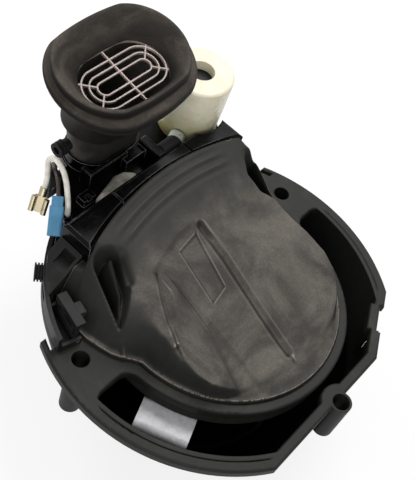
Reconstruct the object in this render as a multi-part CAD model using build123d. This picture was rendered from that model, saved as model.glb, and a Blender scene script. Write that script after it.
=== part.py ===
"""Vacuum motor unit: a bowl-shaped motor housing with its cover, inlet neck, bleed valve, latch and motor.

Z is up and z = 0 is the bowl's flat foot. X runs along the black rail, and Y points from the cover
towards the inlet. The bowl's axis is X = Y = 0. The motor's axis is a little off it.
"""
from build123d import *
import math
import os

os.makedirs("parts", exist_ok=True)

# Clearances, walls and the overrun of every cut
gap = 0.3
fit_gap = 0.05
over = 1.0
wall = 2.5
half_turn = 180.0
full_turn = 360.0
right_angle = 90.0

# Bowl: a foot, a swelling side and a flange with a flat front and one cut corner
flange_z = 85.0
flange_r = 109.0
flange_t = 6.0
flange_round = 1.5
front_step = 17.0
front_flat = flange_r - front_step
corner_step = 8.8
corner_flat = flange_r - corner_step
corner_angle = 27.3
notch_depth = 2.6
notch_length = 19.0
notch_start = 12.0
rim_w = 6.4
foot_r = 68.0
foot_z = 10.0
base_r = 66.0
belly_step = 15.0
belly_r = flange_r - belly_step
belly_z = 47.0
neck_step = 6.4
neck_r = flange_r - neck_step
rear_step = 6.0
rear_r = flange_r - rear_step
floor_t = 3.0
deck_y = 2.0
cavity_ring_r = 77.0
cavity_fillet = 8.0
horn_y = 38.0
horn_length = 7.0
horn_w = 3.5
rear_opening_y = 62.0

# Three screw tubes of the bowl
screw_step = 18.5
side_screw_x = flange_r - screw_step
side_screw_y = 23.0
front_screw_step = 15.4
front_screw_y = flange_r - front_screw_step
tube_r = 6.5
screw_hole_r = 5.1
side_tube_length = 54.0
front_tube_length = 33.0
front_boss_r = 12.0

# Motor axis, bucket and skirt band
motor_x = 2.5
motor_y = -1.5
skirt_r = 76.0
skirt_z = 70.0
bucket_rear = 59.5
skirt_taper = 18.0
cup_r = 60.0
gasket_t = 1.0
gasket_w = 2.0

# Suppressor block and the shelf under it
block_angle = 202.0
block_step = 13.5
block_mid_r = belly_r - block_step
block_w = 32.0
block_depth = 20.0
block_h = 19.0
block_round = 4.0
shelf_z = 47.5
shelf_t = 2.5
shelf_inner_r = 56.0

# Motor cover: sloping hood, lip, side shoulders and panel
hood_r = 67.0
hood_rear = 58.0
hood_top_z = 127.0
hood_slope = 16.3
hood_round = 5.0
lip_r = 70.5
lip_t = 3.0
panel_rise = 1.5
panel_round = 0.6
panel_shares = [(0.02, 0.47), (-0.28, 0.42), (-0.45, 0.41), (-0.61, 0.35), (-0.79, 0.05), (-0.91, -0.21),
                (-0.93, -0.41), (-0.84, -0.62), (-0.7, -0.72), (-0.5, -0.8), (-0.21, -0.88), (-0.12, -0.86),
                (-0.1, -0.3)]
recess_shares = [(-0.04, 0.44), (-0.26, 0.39), (-0.36, -0.1), (-0.17, -0.16)]
recess_depth = 0.8
valley_shares = [(-0.44, 0.42), (-0.36, 0.42), (-0.46, -0.2), (-0.5, -0.9), (-0.74, -0.9), (-0.58, -0.17)]
valley_depth = 1.4
groove_shares = [(0.0, 0.48), (0.05, 0.46), (-0.02, -0.38), (-0.06, -0.86), (-0.14, -0.88), (-0.12, -0.35)]
groove_depth = 2.0
flank_shares = [(-1.0, 0.68, 0.95), (-0.61, 0.35, 0.3), (-0.79, 0.05, 0.22), (-0.91, -0.21, 0.3),
                (-0.98, -0.4, 0.9)]
line_w = 1.0
line_depth = 0.8
line_places = (6.0, 9.5)
line_half = 52.0
shoulder_x = 82.0
shoulder_y = 19.0
shoulder_top_x = 62.5
shoulder_top_y = 46.0
shoulder_top_z = 122.0
pocket_w = 4.5
pocket_y = 22.0
pocket_length = 26.0
pocket_z = 90.0
duct_half = 30.0
duct_z = 90.0
duct_h = 16.0
arc_x = 8.0
arc_y = -118.0
arc_r = 185.0
arc_half = 59.0
arc_bevel = 2.0
catch_w = 8.0
catch_length = 7.0

# Rail, base, lid and strip behind the cover
rail_left = 59.0
rail_right = 73.0
rail_front = 50.0
rail_rear = 75.8
rail_top = 125.0
rail_low = 110.3
rail_bevel = 2.0
rail_slot = 1.2
rail_slot_shares = (-0.32, 0.5)
base_low = 97.3
base_top = 110.0
base_front = 58.5
base_half = 59.0
base_side_y = 70.0
base_left = 34.0
base_left_y = 104.0
base_corner = 26.0
base_corner_y = 109.5
collar_top = 118.0
collar_t = 1.6
pedestal_half = 56.0
pedestal_step = 3.5
lid_wall = 2.8
lid_left = 22.3
lid_middle = 8.0
lid_right = 26.0
lid_rear = 94.3
lid_top = 122.0
lid_end_y = 99.5
lid_step_left = 4.0
lid_step_right = 20.3
lid_step_y = 87.6
lid_step_top = 118.0
lid_end_front = 77.0
lid_bevel = 0.6
strip_top = 118.0
strip_points = [(-30.0, 76.6), (-28.0, 80.5), (-8.0, 86.0), (-1.8, 85.0), (3.2, 80.5), (3.2, 76.6)]
strip_bevel = 1.5
clip_left = 34.0
clip_right = 25.0
clip_front = 83.5
clip_rear = 89.5
clip_top = 115.0

# Rear housing wall
housing_wall = 2.5
housing_top = 97.0
housing_right_y = 62.0
side_block_rear = 75.5
side_block_top = 114.0
side_block_slope = 36.0
side_recess_w = 9.0
side_recess_depth = 6.0
window_angles = (141.0, 128.0)
window_w = 11.0
window_h = 6.0
window_low = 88.5

# Inlet neck, grille and bellows seal
neck_x = 6.0
neck_y = 110.5
neck_len = 54.0
neck_w = 34.0
neck_foot_len = 46.0
neck_foot_w = 28.0
neck_low = 110.0
neck_knee = 143.0
mouth_x = 6.0
mouth_y = 104.0
mouth_len = 58.0
mouth_w = 38.0
mouth_z = 173.0
mouth_tilt = 10.0
seal_len = 92.0
seal_w = 68.0
seal_lip_z = 184.0
seal_wall = 2.2
seal_lip_w = 5.0
seal_low = 141.5
rib_out = 2.4
rib_count = 3
rib_pitch = 6.0
track_span = 30.6
track_radii = (13.0, 8.6, 4.2)
wire_w = 0.9
wire_t = 1.5
spoke_turn = 42.0

# Bleed valve with its side spout
valve_x = 64.0
valve_y = 92.0
valve_foot_r = 18.5
valve_r = 20.5
valve_low = 110.0
valve_top = 155.0
valve_wall = 2.2
valve_cap_t = 8.0
valve_round = 2.0
piston_r = 8.0
piston_flange_r = 10.5
piston_flange_t = 2.0
piston_sink = 6.5
seat_t = 3.0
valve_coil_r = 6.0
valve_wire = 1.0
valve_turns = 5
spout_turn = 202.0
spout_r = 5.0
spout_bore = 3.5
spout_z = 117.0
spout_end = 26.0
hose_r = 5.2
hose_straight = 2.2
hose_bend_r = 8.0

# Side latch, its lugs and pin
latch_x = -82.3
latch_y = 43.5
latch_turn = 165.0
latch_w = 22.0
latch_t = 2.2
latch_pin_z = 87.9
latch_top = 101.5
latch_hub_r = 2.3
latch_pin_r = 1.2
lug_t = 2.0
latch_window_w = 16.0
latch_window_h = 6.0
latch_hook = 3.5
latch_catch = 2.6
latch_reach = 9.5

# Cable pieces at the left
bracket_left = 35.0
bracket_t = 2.6
bracket_low = 92.5
bracket_bar = 2.4
relief_left = 33.0
relief_w = 6.5
relief_r = 2.2
relief_low = 103.0
grommet_angle = 134.0
grommet_r = 5.4
grommet_bore = 1.8
grommet_z = 91.0
grommet_out = 7.0
grommet_ribs = 3
stub_left = 31.0
stub_y = 112.0
stub_z = 131.0
stub_r = 4.6
stub_rib = 0.9
stub_length = 9.0
stub_ribs = 3

# Leads: route points chosen by hand, and their fittings
white_r = 1.6
white_route = [(-46.0, 84.5, 110.0), (-46.0, 84.5, 117.0), (-42.6, 89.4, 122.5), (-39.2, 94.6, 127.0),
               (-36.9, 100.2, 130.4), (-36.0, 107.0, 132.2), (-36.5, 110.3, 130.7), (-37.6, 111.5, 127.4),
               (-39.3, 109.2, 122.9), (-41.4, 106.8, 118.4), (-43.9, 105.6, 114.3)]
brown_r = 1.1
brown_route = [(-29.5, 113.5, 116.5), (-31.9, 112.6, 121.0), (-35.5, 108.0, 124.4), (-39.8, 101.3, 125.8),
               (-43.3, 95.9, 124.6), (-46.9, 92.5, 121.8)]
connector_length = 22.0
connector_w = 8.0
connector_t = 5.6
collar_out = 1.2
collar_h = 3.0
bend_share = 0.45
terminal_length = 15.0
terminal_w = 7.5
terminal_t = 0.8

# Motor: heights above the foot and radii
shaft_r = 4.0
shaft_low = 10.5
shaft_top = 83.6
bearing_r = 11.0
bearing_h = 7.0
lower_bearing_z = 11.5
upper_bearing_z = 59.3
mount_r = 20.0
mount_h = 4.0
boss_wall = 3.0
frame_t = 3.5
frame_ring_r = 46.0
frame_leg_w = 6.0
arm_w = 14.0
commutator_r = 11.0
commutator_low = 19.5
commutator_h = 10.0
commutator_bars = 24
bar_slit = 0.5
core_low = 34.0
core_h = 20.0
stator_r = 44.0
stator_wall = 6.0
pole_bore_r = 20.4
pole_t = 4.0
pole_w = 25.0
pole_shoe_w = 34.0
coil_inner_x = 25.0
coil_t = 7.0
coil_half = 20.0
coil_over = 5.0
armature_r = 19.9
slot_count = 12
slot_w = 3.2
slot_depth = 8.0
winding_r = 17.5
winding_hub_r = 8.0
winding_h = 4.0
winding_gap = 0.4
upper_frame_z = 60.0
upper_frame_t = 2.0
upper_frame_r = 52.4
shroud_r = 54.2
shroud_t = 1.2
shroud_top = 83.0
shroud_flange_r = 64.0
shroud_flange_t = 1.5
eye_r = 17.0
upper_mount_w = 6.0
upper_mount_h = 4.0
diffuser_r = 52.0
diffuser_t = 1.4
diffuser_h = 8.4
diffuser_vanes = 12
vane_t = 1.4
vane_turn = 38.0
air_hole_share = 0.9
fan_low = 72.4
fan_r = 49.0
fan_h = 8.0
fan_plate = 1.0
fan_blades = 9
fan_hub_r = 8.5
blade_turn = 55.0
nut_r = 6.6
nut_sides = 6
nut_h = 3.2
brush_z = 24.5
brush_w = 6.0
brush_h = 5.0
brush_length = 13.5
brush_gap = 0.2
holder_wall = 1.2
holder_inner_x = 13.0
holder_length = 21.5
brush_coil_r = 1.9
brush_wire = 0.5
brush_turns = 8

BASE = (Align.CENTER, Align.CENTER, Align.MIN)
CORNER = (Align.MIN, Align.MIN, Align.MIN)
reach = 2 * flange_r
made = {}


def rod(radius, low, high, x=0, y=0):
    """Round bar along Z from low to high."""
    return Pos(x, y, low) * Cylinder(radius, high - low, align=BASE)


def tube(outer, inner, low, high, x=0, y=0):
    """Round tube along Z."""
    return rod(outer, low, high, x, y) - rod(inner, low - over, high + over, x, y)


def block(x0, x1, y0, y1, low, high):
    """Box between two corners."""
    return Pos(x0, y0, low) * Box(x1 - x0, y1 - y0, high - low, align=CORNER)


def slab(plan, low, high):
    """Plan drawn on XY, as a plate between two heights."""
    return Pos(0, 0, low) * extrude(plan, high - low)


def below(y):
    """Sketch of everything in front of a line of constant Y."""
    return Pos(0, y - reach) * Rectangle(2 * reach, 2 * reach)


def above(y):
    """Sketch of everything behind a line of constant Y."""
    return Pos(0, y + reach) * Rectangle(2 * reach, 2 * reach)


def around(shape, angle):
    """Shape turned about the bowl's axis."""
    return Rot(0, 0, angle) * shape


def at_motor(shape):
    """Shape moved from the bowl's axis to the motor's."""
    return Pos(motor_x, motor_y, 0) * shape


def save(name, shape):
    """Write one sub-part under its own name."""
    made[name] = shape
    export_step(shape, f"parts/{name}.step")


def bowl_plan(inset):
    """Flange outline: a circle with a flat front, one cut corner and a shallow notch in the cut."""
    plan = Circle(flange_r - inset) - below(inset - front_flat)
    plan -= Rot(0, 0, corner_angle) * below(inset - corner_flat)
    notch_y = notch_depth + inset - corner_flat
    notch_mid = notch_start + notch_length / 2
    notch = Pos(notch_mid, notch_y - notch_depth) * Rectangle(notch_length, 2 * notch_depth)
    return plan - Rot(0, 0, corner_angle) * notch


def bowl_form(inset, low):
    """Solid of revolution of the bowl's side, moved inwards by the inset."""
    side = ThreePointArc((foot_r - inset, foot_z), (belly_r - inset, belly_z), (neck_r - inset, flange_z))
    outline = Polyline((neck_r - inset, flange_z), (0, flange_z), (0, low), (base_r - inset, low),
                       (foot_r - inset, foot_z))
    return revolve(Plane.XZ * make_face(outline + side), Axis.Z)


def flange_plan():
    """Flange with its rear ring and the two horns beside it."""
    front = bowl_plan(0) & below(horn_y)
    rear = Circle(rear_r) & above(0)
    horns = (Circle(flange_r) - Circle(flange_r - horn_w)) & above(horn_y - over) & below(horn_y + horn_length)
    return front + rear + horns


def cavity_plan():
    """Opening of the flange: a crescent round the front of the cover, with rounded ends."""
    plan = bowl_plan(rim_w) & below(deck_y)
    plan -= Pos(0, -front_screw_y) * Circle(front_boss_r)
    plan -= Pos(motor_x, motor_y) * Circle(cavity_ring_r)
    corners = [v for v in plan.vertices() if abs(v.Y - deck_y) < gap]
    return fillet(corners, cavity_fillet)


def screw_places():
    """Axis and length of each screw tube."""
    return [(-side_screw_x, side_screw_y, side_tube_length), (side_screw_x, side_screw_y, side_tube_length),
            (0, -front_screw_y, front_tube_length)]


def outer_bowl():
    edge = flange_t / 4
    outside = bowl_form(0, 0) & slab(bowl_plan(edge), 0, flange_z)
    inside = bowl_form(wall, floor_t) & slab(bowl_plan(edge + wall), floor_t, flange_z)
    plate = slab(flange_plan() - cavity_plan(), flange_z - flange_t, flange_z)
    plate = fillet(plate.faces().sort_by(Axis.Z)[-1].edges(), flange_round)
    shape = outside - inside + plate
    for x, y, length in screw_places():
        shape += rod(tube_r, flange_z - length, flange_z, x, y)
    for x, y, length in screw_places():
        shape -= rod(screw_hole_r, flange_z - length - over, flange_z + over, x, y)
    return shape - skirt_form(gap, rear_opening_y, flange_z + over)


def d_plan(radius, rear):
    """Outline of bucket and cover about the motor's axis: round in front, straight sides to the rear."""
    straight = Pos(0, (rear - motor_y) / 2) * Rectangle(2 * radius, rear - motor_y)
    return at_motor((Circle(radius) & below(0)) + straight)


def band_r(z):
    """Outer radius of the tapering skirt band at a height."""
    return skirt_r - (z - skirt_z) * math.tan(math.radians(skirt_taper))


def skirt_form(grow, rear, top):
    """Tapering form of the skirt band."""
    return extrude(Pos(0, 0, skirt_z) * d_plan(skirt_r + grow, rear), top - skirt_z, taper=skirt_taper)


def motor_bucket():
    top = flange_z - gasket_t
    shape = skirt_form(0, bucket_rear, top)
    inner_r = band_r(top) - wall
    shape -= slab(d_plan(inner_r, bucket_rear - 2 * wall), skirt_z + wall, flange_z)
    shape += at_motor(rod(cup_r, floor_t, skirt_z + wall))
    shape -= at_motor(rod(cup_r - wall, floor_t + wall, flange_z))
    end = block_mid_r + block_depth / 2
    shelf = block(shelf_inner_r, end, -block_w / 2, block_w / 2, shelf_z, shelf_z + shelf_t)
    shape += around(shelf, block_angle) - at_motor(rod(cup_r - wall / 2, 0, flange_z))
    return shape & bowl_form(wall + gap, floor_t)


def capacitor():
    low = shelf_z + shelf_t
    half = block_depth / 2
    shape = block(block_mid_r - half, block_mid_r + half, -block_w / 2, block_w / 2, low, low + block_h)
    shape = fillet(shape.edges().filter_by(Axis.Y), block_round)
    return around(shape, block_angle)


def cover_gasket():
    outer = band_r(flange_z) - gap
    ring = d_plan(outer, bucket_rear - wall) - d_plan(outer - gasket_w, bucket_rear - wall - gasket_w)
    return slab(ring, flange_z - gasket_t, flange_z)


def over_slope(drop):
    """Everything above the hood's sloping top, lowered by a drop square to it."""
    tool = Pos(0, 0, -drop) * Box(2 * reach, 2 * reach, reach, align=BASE)
    return Pos(0, hood_rear, hood_top_z) * Rot(hood_slope, 0, 0) * tool


def hood(radius, rear, drop, low):
    """Cover body under the sloping top."""
    return slab(d_plan(radius, rear), low, hood_top_z + over) - over_slope(drop)


def shoulder(side):
    """Ramp from the rail's end down to the deck beside the hood."""
    foot_x0 = hood_r - pocket_w
    foot = Pos((foot_x0 + shoulder_x) / 2, (shoulder_y + hood_rear) / 2, flange_z) * Rectangle(
        shoulder_x - foot_x0, hood_rear - shoulder_y)
    top_x0 = hood_r - 2 * pocket_w
    top = Pos((top_x0 + shoulder_top_x) / 2, (shoulder_top_y + hood_rear) / 2, shoulder_top_z) * Rectangle(
        shoulder_top_x - top_x0, hood_rear - shoulder_top_y)
    ramp = loft([foot.face(), top.face()], ruled=True)
    ramp &= rod(rear_r - housing_wall - gap, flange_z, hood_top_z)
    return ramp if side > 0 else mirror(ramp, Plane.YZ)


def top_at(y):
    """Height of the sloping top at a place along Y."""
    return hood_top_z - (hood_rear - y) * math.tan(math.radians(hood_slope))


def hood_plan(shares):
    """Outline on the hood from shares of its radius about the motor's axis."""
    return at_motor(make_face(Polyline(*[(x * hood_r, y * hood_r) for x, y in shares], close=True)))


def sunk(shares, depth):
    """Tool that sinks an outline into the sloping top."""
    return slab(hood_plan(shares), flange_z, hood_top_z + over) & over_slope(depth)


def panel():
    """Raised panel left of the middle groove, with its rear edge as a chevron."""
    plate = slab(hood_plan(panel_shares), flange_z, hood_top_z + over) - over_slope(-panel_rise)
    plate = fillet(plate.faces().sort_by(Axis.Z)[-1].edges(), panel_round)
    return plate & over_slope(over)


def flank():
    """Tool that carves the hollow flank between the panel's left edge and the lip."""
    faces = []
    left = -hood_r - 3 * wall
    for x_share, y_share, low_share in flank_shares:
        y = motor_y + y_share * hood_r
        edge_z = top_at(y)
        low = flange_z + low_share * (edge_z - flange_z)
        points = [(x_share * hood_r, edge_z), (-hood_r, low), (left, low), (left, edge_z + over),
                  (x_share * hood_r, edge_z + over)]
        section = make_face(Polyline(*points, close=True))
        faces.append(Plane((motor_x, y, 0), x_dir=(1, 0, 0), z_dir=(0, -1, 0)) * section)
    return loft([face.face() for face in faces], ruled=True)


def rear_disc(grow, low, high):
    """Disc whose edge is the curved rear of the cover, grown outwards."""
    return rod(arc_r + grow, low, high, arc_x, arc_y)


def cover_cap():
    """Part of the cover over the base, out to the curved rear edge."""
    cap = rear_disc(0, rail_low, reach) & block(-arc_half, arc_half, hood_rear - wall, reach, rail_low, reach)
    cap -= over_slope(0)
    return chamfer([e for e in cap.edges() if e.center().Y > hood_rear and e.center().Z > hood_top_z],
                   arc_bevel)


def motor_cover():
    shape = hood(hood_r, hood_rear, 0, flange_z)
    top_edges = [e for e in shape.edges() if e.center().Z > flange_z + hood_round]
    shape = fillet([e for e in top_edges if abs(e.center().Y - hood_rear) > gap], hood_round)
    shape -= flank()
    shape += slab(d_plan(lip_r, hood_rear), flange_z, flange_z + lip_t)
    for side in (-1, 1):
        shape += shoulder(side)
    inside = hood(hood_r - wall, hood_rear - wall, wall + groove_depth, flange_z - over)
    shape -= inside - Pos(2 * wall, 0, 0) * flank()
    shape += panel() - sunk(valley_shares, valley_depth - panel_rise)
    shape -= sunk(recess_shares, recess_depth - panel_rise)
    shape -= sunk(groove_shares, groove_depth)
    shape += cover_cap()
    shape -= block(-reach, reach, 0, reach, rail_low - gap, reach) - rear_disc(0, 0, reach)
    for place in line_places:
        line = rear_disc(-place, 0, reach) - rear_disc(-place - line_w, 0, reach)
        line = line & block(-line_half, line_half, 0, reach, 0, reach)
        shape -= line & over_slope(line_depth)
    for side in (-1, 1):
        pocket = block(0, pocket_w, 0, pocket_length, 0, reach)
        pocket = Pos(hood_r, pocket_y, pocket_z) * pocket
        shape -= pocket if side > 0 else mirror(pocket, Plane.YZ)
    shape -= block(-duct_half, duct_half, hood_rear - 2 * wall, hood_rear + over, duct_z, duct_z + duct_h)
    half = latch_w / 2 + lug_t + 2 * gap
    shape -= at_latch(block(-latch_hub_r - gap, reach, -half, half, flange_z - over, reach))
    catch = block(-latch_catch - catch_length, -latch_catch, -catch_w / 2, catch_w / 2, flange_z, catch_top())
    return shape + at_latch(catch)


def catch_top():
    """Top of the catch, just under the latch's hook."""
    return latch_top - latch_t - gap


def duct_rail():
    """Black rail whose front follows the curved rear of the cover."""
    shape = block(-rail_left, rail_right, rail_front, rail_rear, rail_low, rail_top)
    shape -= rear_disc(gap, 0, reach)
    shape -= rod(valve_r + 2 * gap, valve_low - over, reach, valve_x, valve_y)
    shape = chamfer(shape.faces().sort_by(Axis.Z)[-1].edges(), rail_bevel)
    for share in rail_slot_shares:
        x = share * rail_right
        shape -= block(x, x + rail_slot, rail_front, rail_rear + over, rail_top - rail_slot, rail_top + over)
    return shape


def base_plan():
    """Outline of the black base: slanting left side, the collar's seat and the valve's round ear."""
    points = [(-base_half, base_front), (-base_half, base_side_y), (-base_left, base_left_y),
              (-base_corner, base_corner_y), (-base_corner, base_corner_y + bracket_t),
              (neck_x, base_corner_y + bracket_t),
              (valve_x - valve_r / 2, valve_y + valve_r / 2), (rail_right, base_side_y),
              (rail_right, base_front)]
    plan = make_face(Polyline(*points, close=True)) + Pos(valve_x, valve_y) * Circle(valve_r)
    return plan + Pos(neck_x, neck_y) * racetrack(neck_foot_len, neck_foot_w, -2 * collar_t)


def lead_collar(radius, low, high):
    """Round bar about the foot of the white lead."""
    return rod(radius, low, high, white_route[0][0], white_route[0][1])


def duct_base():
    shape = slab(base_plan(), base_low, base_top)
    pedestal = block(-pedestal_half, pedestal_half, base_front, rear_r, flange_z, base_low)
    shape += pedestal & rod(rear_r - pedestal_step, flange_z, base_low)
    shape += slab(Pos(neck_x, neck_y) * racetrack(neck_foot_len, neck_foot_w, -collar_t - gap), base_low,
                  collar_top)
    shape -= block(-duct_half, duct_half, base_front - over, neck_y, duct_z, duct_z + duct_h)
    inner = Pos(neck_x, neck_y) * racetrack(neck_foot_len, neck_foot_w, wall)
    shape -= slab(inner, duct_z + wall, collar_top + over)
    shape -= slab(Pos(neck_x, neck_y) * racetrack(neck_foot_len, neck_foot_w, -gap), neck_low,
                  collar_top + over)
    clip = block(-clip_left, -clip_right, clip_front, clip_rear, base_top, clip_top)
    shape += clip - block(-clip_left + lid_wall, -clip_right - lid_wall, clip_front - over,
                          clip_rear - lid_wall,
                          base_top + lid_wall, clip_top + over)
    shape += lead_collar(white_r + fit_gap + collar_out, base_top, base_top + collar_h)
    return shape - lead_collar(white_r + fit_gap, base_top, base_top + collar_h + over)


def duct_lid():
    """Stepped black wall in front of the neck, with the block that takes the hose."""
    low = base_top + gap
    front = lid_rear - lid_wall
    shape = block(-lid_left, lid_middle, front, lid_rear, low, lid_top)
    shape += block(-lid_left, -lid_left + lid_wall, front, lid_end_y, low, lid_top)
    shape += block(lid_step_left, lid_step_right, lid_step_y, lid_rear, low, lid_step_top)
    shape += block(lid_step_right, lid_right, lid_end_front, lid_rear, low, lid_top)
    return chamfer(shape.edges().group_by(Axis.Z)[-1], lid_bevel)


def rail_strip():
    """Pale wedge that lies between the rail and the lid."""
    plan = make_face(Polyline(*strip_points, close=True))
    shape = slab(plan, base_top + gap, strip_top)
    return chamfer(shape.faces().sort_by(Axis.Z)[-1].edges(), strip_bevel)


def rear_housing():
    """Wall round the back of the bowl, with two windows and the latch's lugs."""
    ring = Circle(rear_r) - Circle(rear_r - housing_wall)
    ring &= above(horn_y - horn_w)
    ring -= Pos(reach, housing_right_y - reach) * Rectangle(2 * reach, 2 * reach)
    shape = slab(ring, flange_z, housing_top) + side_block()
    for angle in window_angles:
        opening = block(rear_r - 2 * housing_wall, rear_r + over, -window_w / 2, window_w / 2, window_low,
                        window_low + window_h)
        shape -= around(opening, angle)
    hole = Rot(0, right_angle, 0) * Cylinder(grommet_r - over, rear_r + over, align=BASE)
    hole = Pos(0, 0, grommet_z) * hole
    shape -= around(hole, grommet_angle)
    for side in (-1, 1):
        y0 = side * (latch_w / 2 + gap)
        y1 = y0 + side * lug_t
        lug = block(-latch_hub_r, latch_reach, min(y0, y1), max(y0, y1), flange_z, latch_pin_z + latch_hub_r)
        lug -= latch_bar(latch_pin_r, latch_w + 4 * lug_t)
        shape += at_latch(lug) & rod(rear_r - housing_wall / 2, flange_z, reach)
    half = latch_w / 2 + gap + lug_t
    strip = at_latch(block(latch_hub_r + gap, latch_reach, -half, half, flange_z,
                           flange_z + housing_wall / 2))
    return shape + (strip & rod(rear_r - housing_wall / 2, flange_z, reach))


def side_block():
    """Sloping block between the rail's left end and the wall, with a square recess in its top."""
    x1 = -rail_left - gap
    shape = block(-rear_r, x1, hood_rear + 2 * gap, side_block_rear, flange_z, side_block_top)
    shape = shape & rod(rear_r - housing_wall / 2, flange_z, side_block_top)
    tool = Pos(x1, 0, side_block_top) * Rot(0, -side_block_slope, 0) * Box(
        2 * reach, 2 * reach, reach, align=BASE)
    recess = block(x1 - side_recess_w - wall, x1 - wall, hood_rear + wall, hood_rear + wall + side_recess_w,
                   side_block_top - side_recess_depth - wall, reach)
    return shape - tool - recess


def at_latch(shape):
    """Shape drawn about the latch's pin, moved into place: x points outwards."""
    return Pos(latch_x, latch_y, 0) * Rot(0, 0, latch_turn) * shape


def latch_bar(radius, length):
    """Round bar along the latch's pin, before it is moved into place."""
    return Pos(0, 0, latch_pin_z) * Rot(right_angle, 0, 0) * Cylinder(radius, length)


def side_latch():
    x0 = -latch_t / 2
    window_low = latch_pin_z + latch_hub_r + latch_t / 2
    shape = block(x0, x0 + latch_t, -latch_w / 2, latch_w / 2, latch_pin_z, latch_top)
    shape -= block(x0 - over, x0 + latch_t + over, -latch_window_w / 2, latch_window_w / 2, window_low,
                   window_low + latch_window_h)
    shape += block(x0 - latch_hook, x0, -latch_w / 2, latch_w / 2, latch_top - latch_t, latch_top)
    shape += latch_bar(latch_hub_r, latch_w)
    shape -= latch_bar(latch_pin_r + fit_gap, latch_w + 2 * over)
    return at_latch(shape)


def latch_pin():
    return at_latch(latch_bar(latch_pin_r, latch_w + 2 * gap + 2 * lug_t))


def racetrack(length, width, inset):
    """Racetrack outline, drawn in inwards by an inset."""
    return SlotOverall(length - 2 * inset, width - 2 * inset)


def at_mouth(sketch, z, tilt):
    """Sketch placed over the inlet's mouth, tilted forwards."""
    return Pos(mouth_x, mouth_y, z) * Rot(tilt, 0, 0) * sketch


def at_neck(sketch, z):
    """Sketch placed on the neck's lower, upright part."""
    return Pos(neck_x, neck_y, z) * sketch


def neck_form(inset, low, rise):
    """Neck as a solid: it widens from its foot to the knee and again to the tilted mouth."""
    foot = at_neck(racetrack(neck_foot_len, neck_foot_w, inset), collar_top)
    knee = at_neck(racetrack(neck_len, neck_w, inset), neck_knee)
    mouth = at_mouth(racetrack(mouth_len + 2 * wall, mouth_w + 2 * wall, inset), mouth_z, mouth_tilt)
    shape = slab(Pos(neck_x, neck_y) * racetrack(neck_foot_len, neck_foot_w, inset), low, collar_top)
    shape += loft([foot.face(), knee.face()], ruled=True)
    shape += loft([knee.face(), mouth.face()], ruled=True)
    rim = racetrack(mouth_len + 2 * wall, mouth_w + 2 * wall, inset)
    return shape + Pos(mouth_x, mouth_y, mouth_z) * Rot(mouth_tilt, 0, 0) * extrude(rim, rise)


def inlet_neck():
    shape = neck_form(0, neck_low, over) - neck_form(wall, neck_low - over, 2 * over)
    above_mouth = Rot(mouth_tilt, 0, 0) * Box(reach, reach, reach, align=BASE)
    above_mouth = Pos(mouth_x, mouth_y, mouth_z) * above_mouth
    return shape - above_mouth


def inlet_grille():
    """Three racetrack wires, a middle bar and four slanting spokes, in a rim that sits on the neck."""
    plan = racetrack(mouth_len + 2 * wall, mouth_w + 2 * wall, 0) - racetrack(mouth_len, mouth_w, 0)
    edge = racetrack(mouth_len + wall, mouth_w + wall, 0)
    for radius in track_radii:
        span = track_span + 2 * radius
        outside = SlotOverall(span + wire_w, 2 * radius + wire_w)
        plan += outside - SlotOverall(span - wire_w, 2 * radius - wire_w)
    plan += Rectangle(wire_w, mouth_w + wall)
    for side in (-1, 1):
        for turn in (-spoke_turn, spoke_turn):
            spoke = Rectangle(mouth_w - track_radii[-1], wire_w)
            spoke = Pos(side * (track_radii[-1] + mouth_w) / 2, 0) * spoke
            plan += (Pos(side * track_span / 2, 0) * Rot(0, 0, turn) * spoke) & edge
    return Pos(mouth_x, mouth_y, mouth_z) * Rot(mouth_tilt, 0, 0) * extrude(plan, wire_t)


def seal_sections():
    """Sections of the bellows from its cuff to the lip: three ribs, then the flare."""
    grow = 2 * seal_wall + 2 * fit_gap
    sections = []
    for step in range(rib_count):
        z = seal_low + step * rib_pitch
        share = step / rib_count
        length = neck_len + (mouth_len + 2 * wall - neck_len) * share + grow
        width = neck_w + (mouth_w + 2 * wall - neck_w) * share + grow
        sections.append((z, length, width))
        sections.append((z + rib_pitch / 2, length + 2 * rib_out, width + 2 * rib_out))
    return sections


def inlet_seal():
    """Rubber seal: ribbed cuff round the neck and a wide tilted lip."""
    rise = mouth_z - seal_low
    faces = []
    for z, length, width in seal_sections():
        share = (z - seal_low) / rise
        x = neck_x + (mouth_x - neck_x) * share
        y = neck_y + (mouth_y - neck_y) * share
        faces.append((Pos(x, y, z) * Rot(mouth_tilt * share, 0, 0) * SlotOverall(length, width)).face())
    faces.append(at_mouth(SlotOverall(seal_len, seal_w), seal_lip_z, mouth_tilt).face())
    body = loft(faces, ruled=True)
    funnel = loft([at_mouth(racetrack(mouth_len, mouth_w, 0), mouth_z + wire_t, mouth_tilt).face(),
                   at_mouth(racetrack(seal_len, seal_w, seal_lip_w), seal_lip_z, mouth_tilt).face()],
                   ruled=True)
    cap = extrude(racetrack(seal_len, seal_w, seal_lip_w), over)
    cap = Pos(mouth_x, mouth_y, seal_lip_z) * Rot(mouth_tilt, 0, 0) * cap
    core = neck_form(-fit_gap, neck_low, wire_t + fit_gap)
    return body - funnel - core - cap


def valve_body():
    shape = loft([(Pos(valve_x, valve_y, valve_low) * Circle(valve_foot_r)).face(),
                  (Pos(valve_x, valve_y, valve_top) * Circle(valve_r)).face()])
    shape = fillet(shape.faces().sort_by(Axis.Z)[-1].edges(), valve_round)
    shape -= rod(valve_foot_r - valve_wall, valve_low - over, valve_top - valve_cap_t, valve_x, valve_y)
    shape -= rod(piston_r + fit_gap, valve_low, valve_top + over, valve_x, valve_y)
    shape -= spout_bar(spout_bore, valve_foot_r + 2 * over)
    return shape


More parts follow.
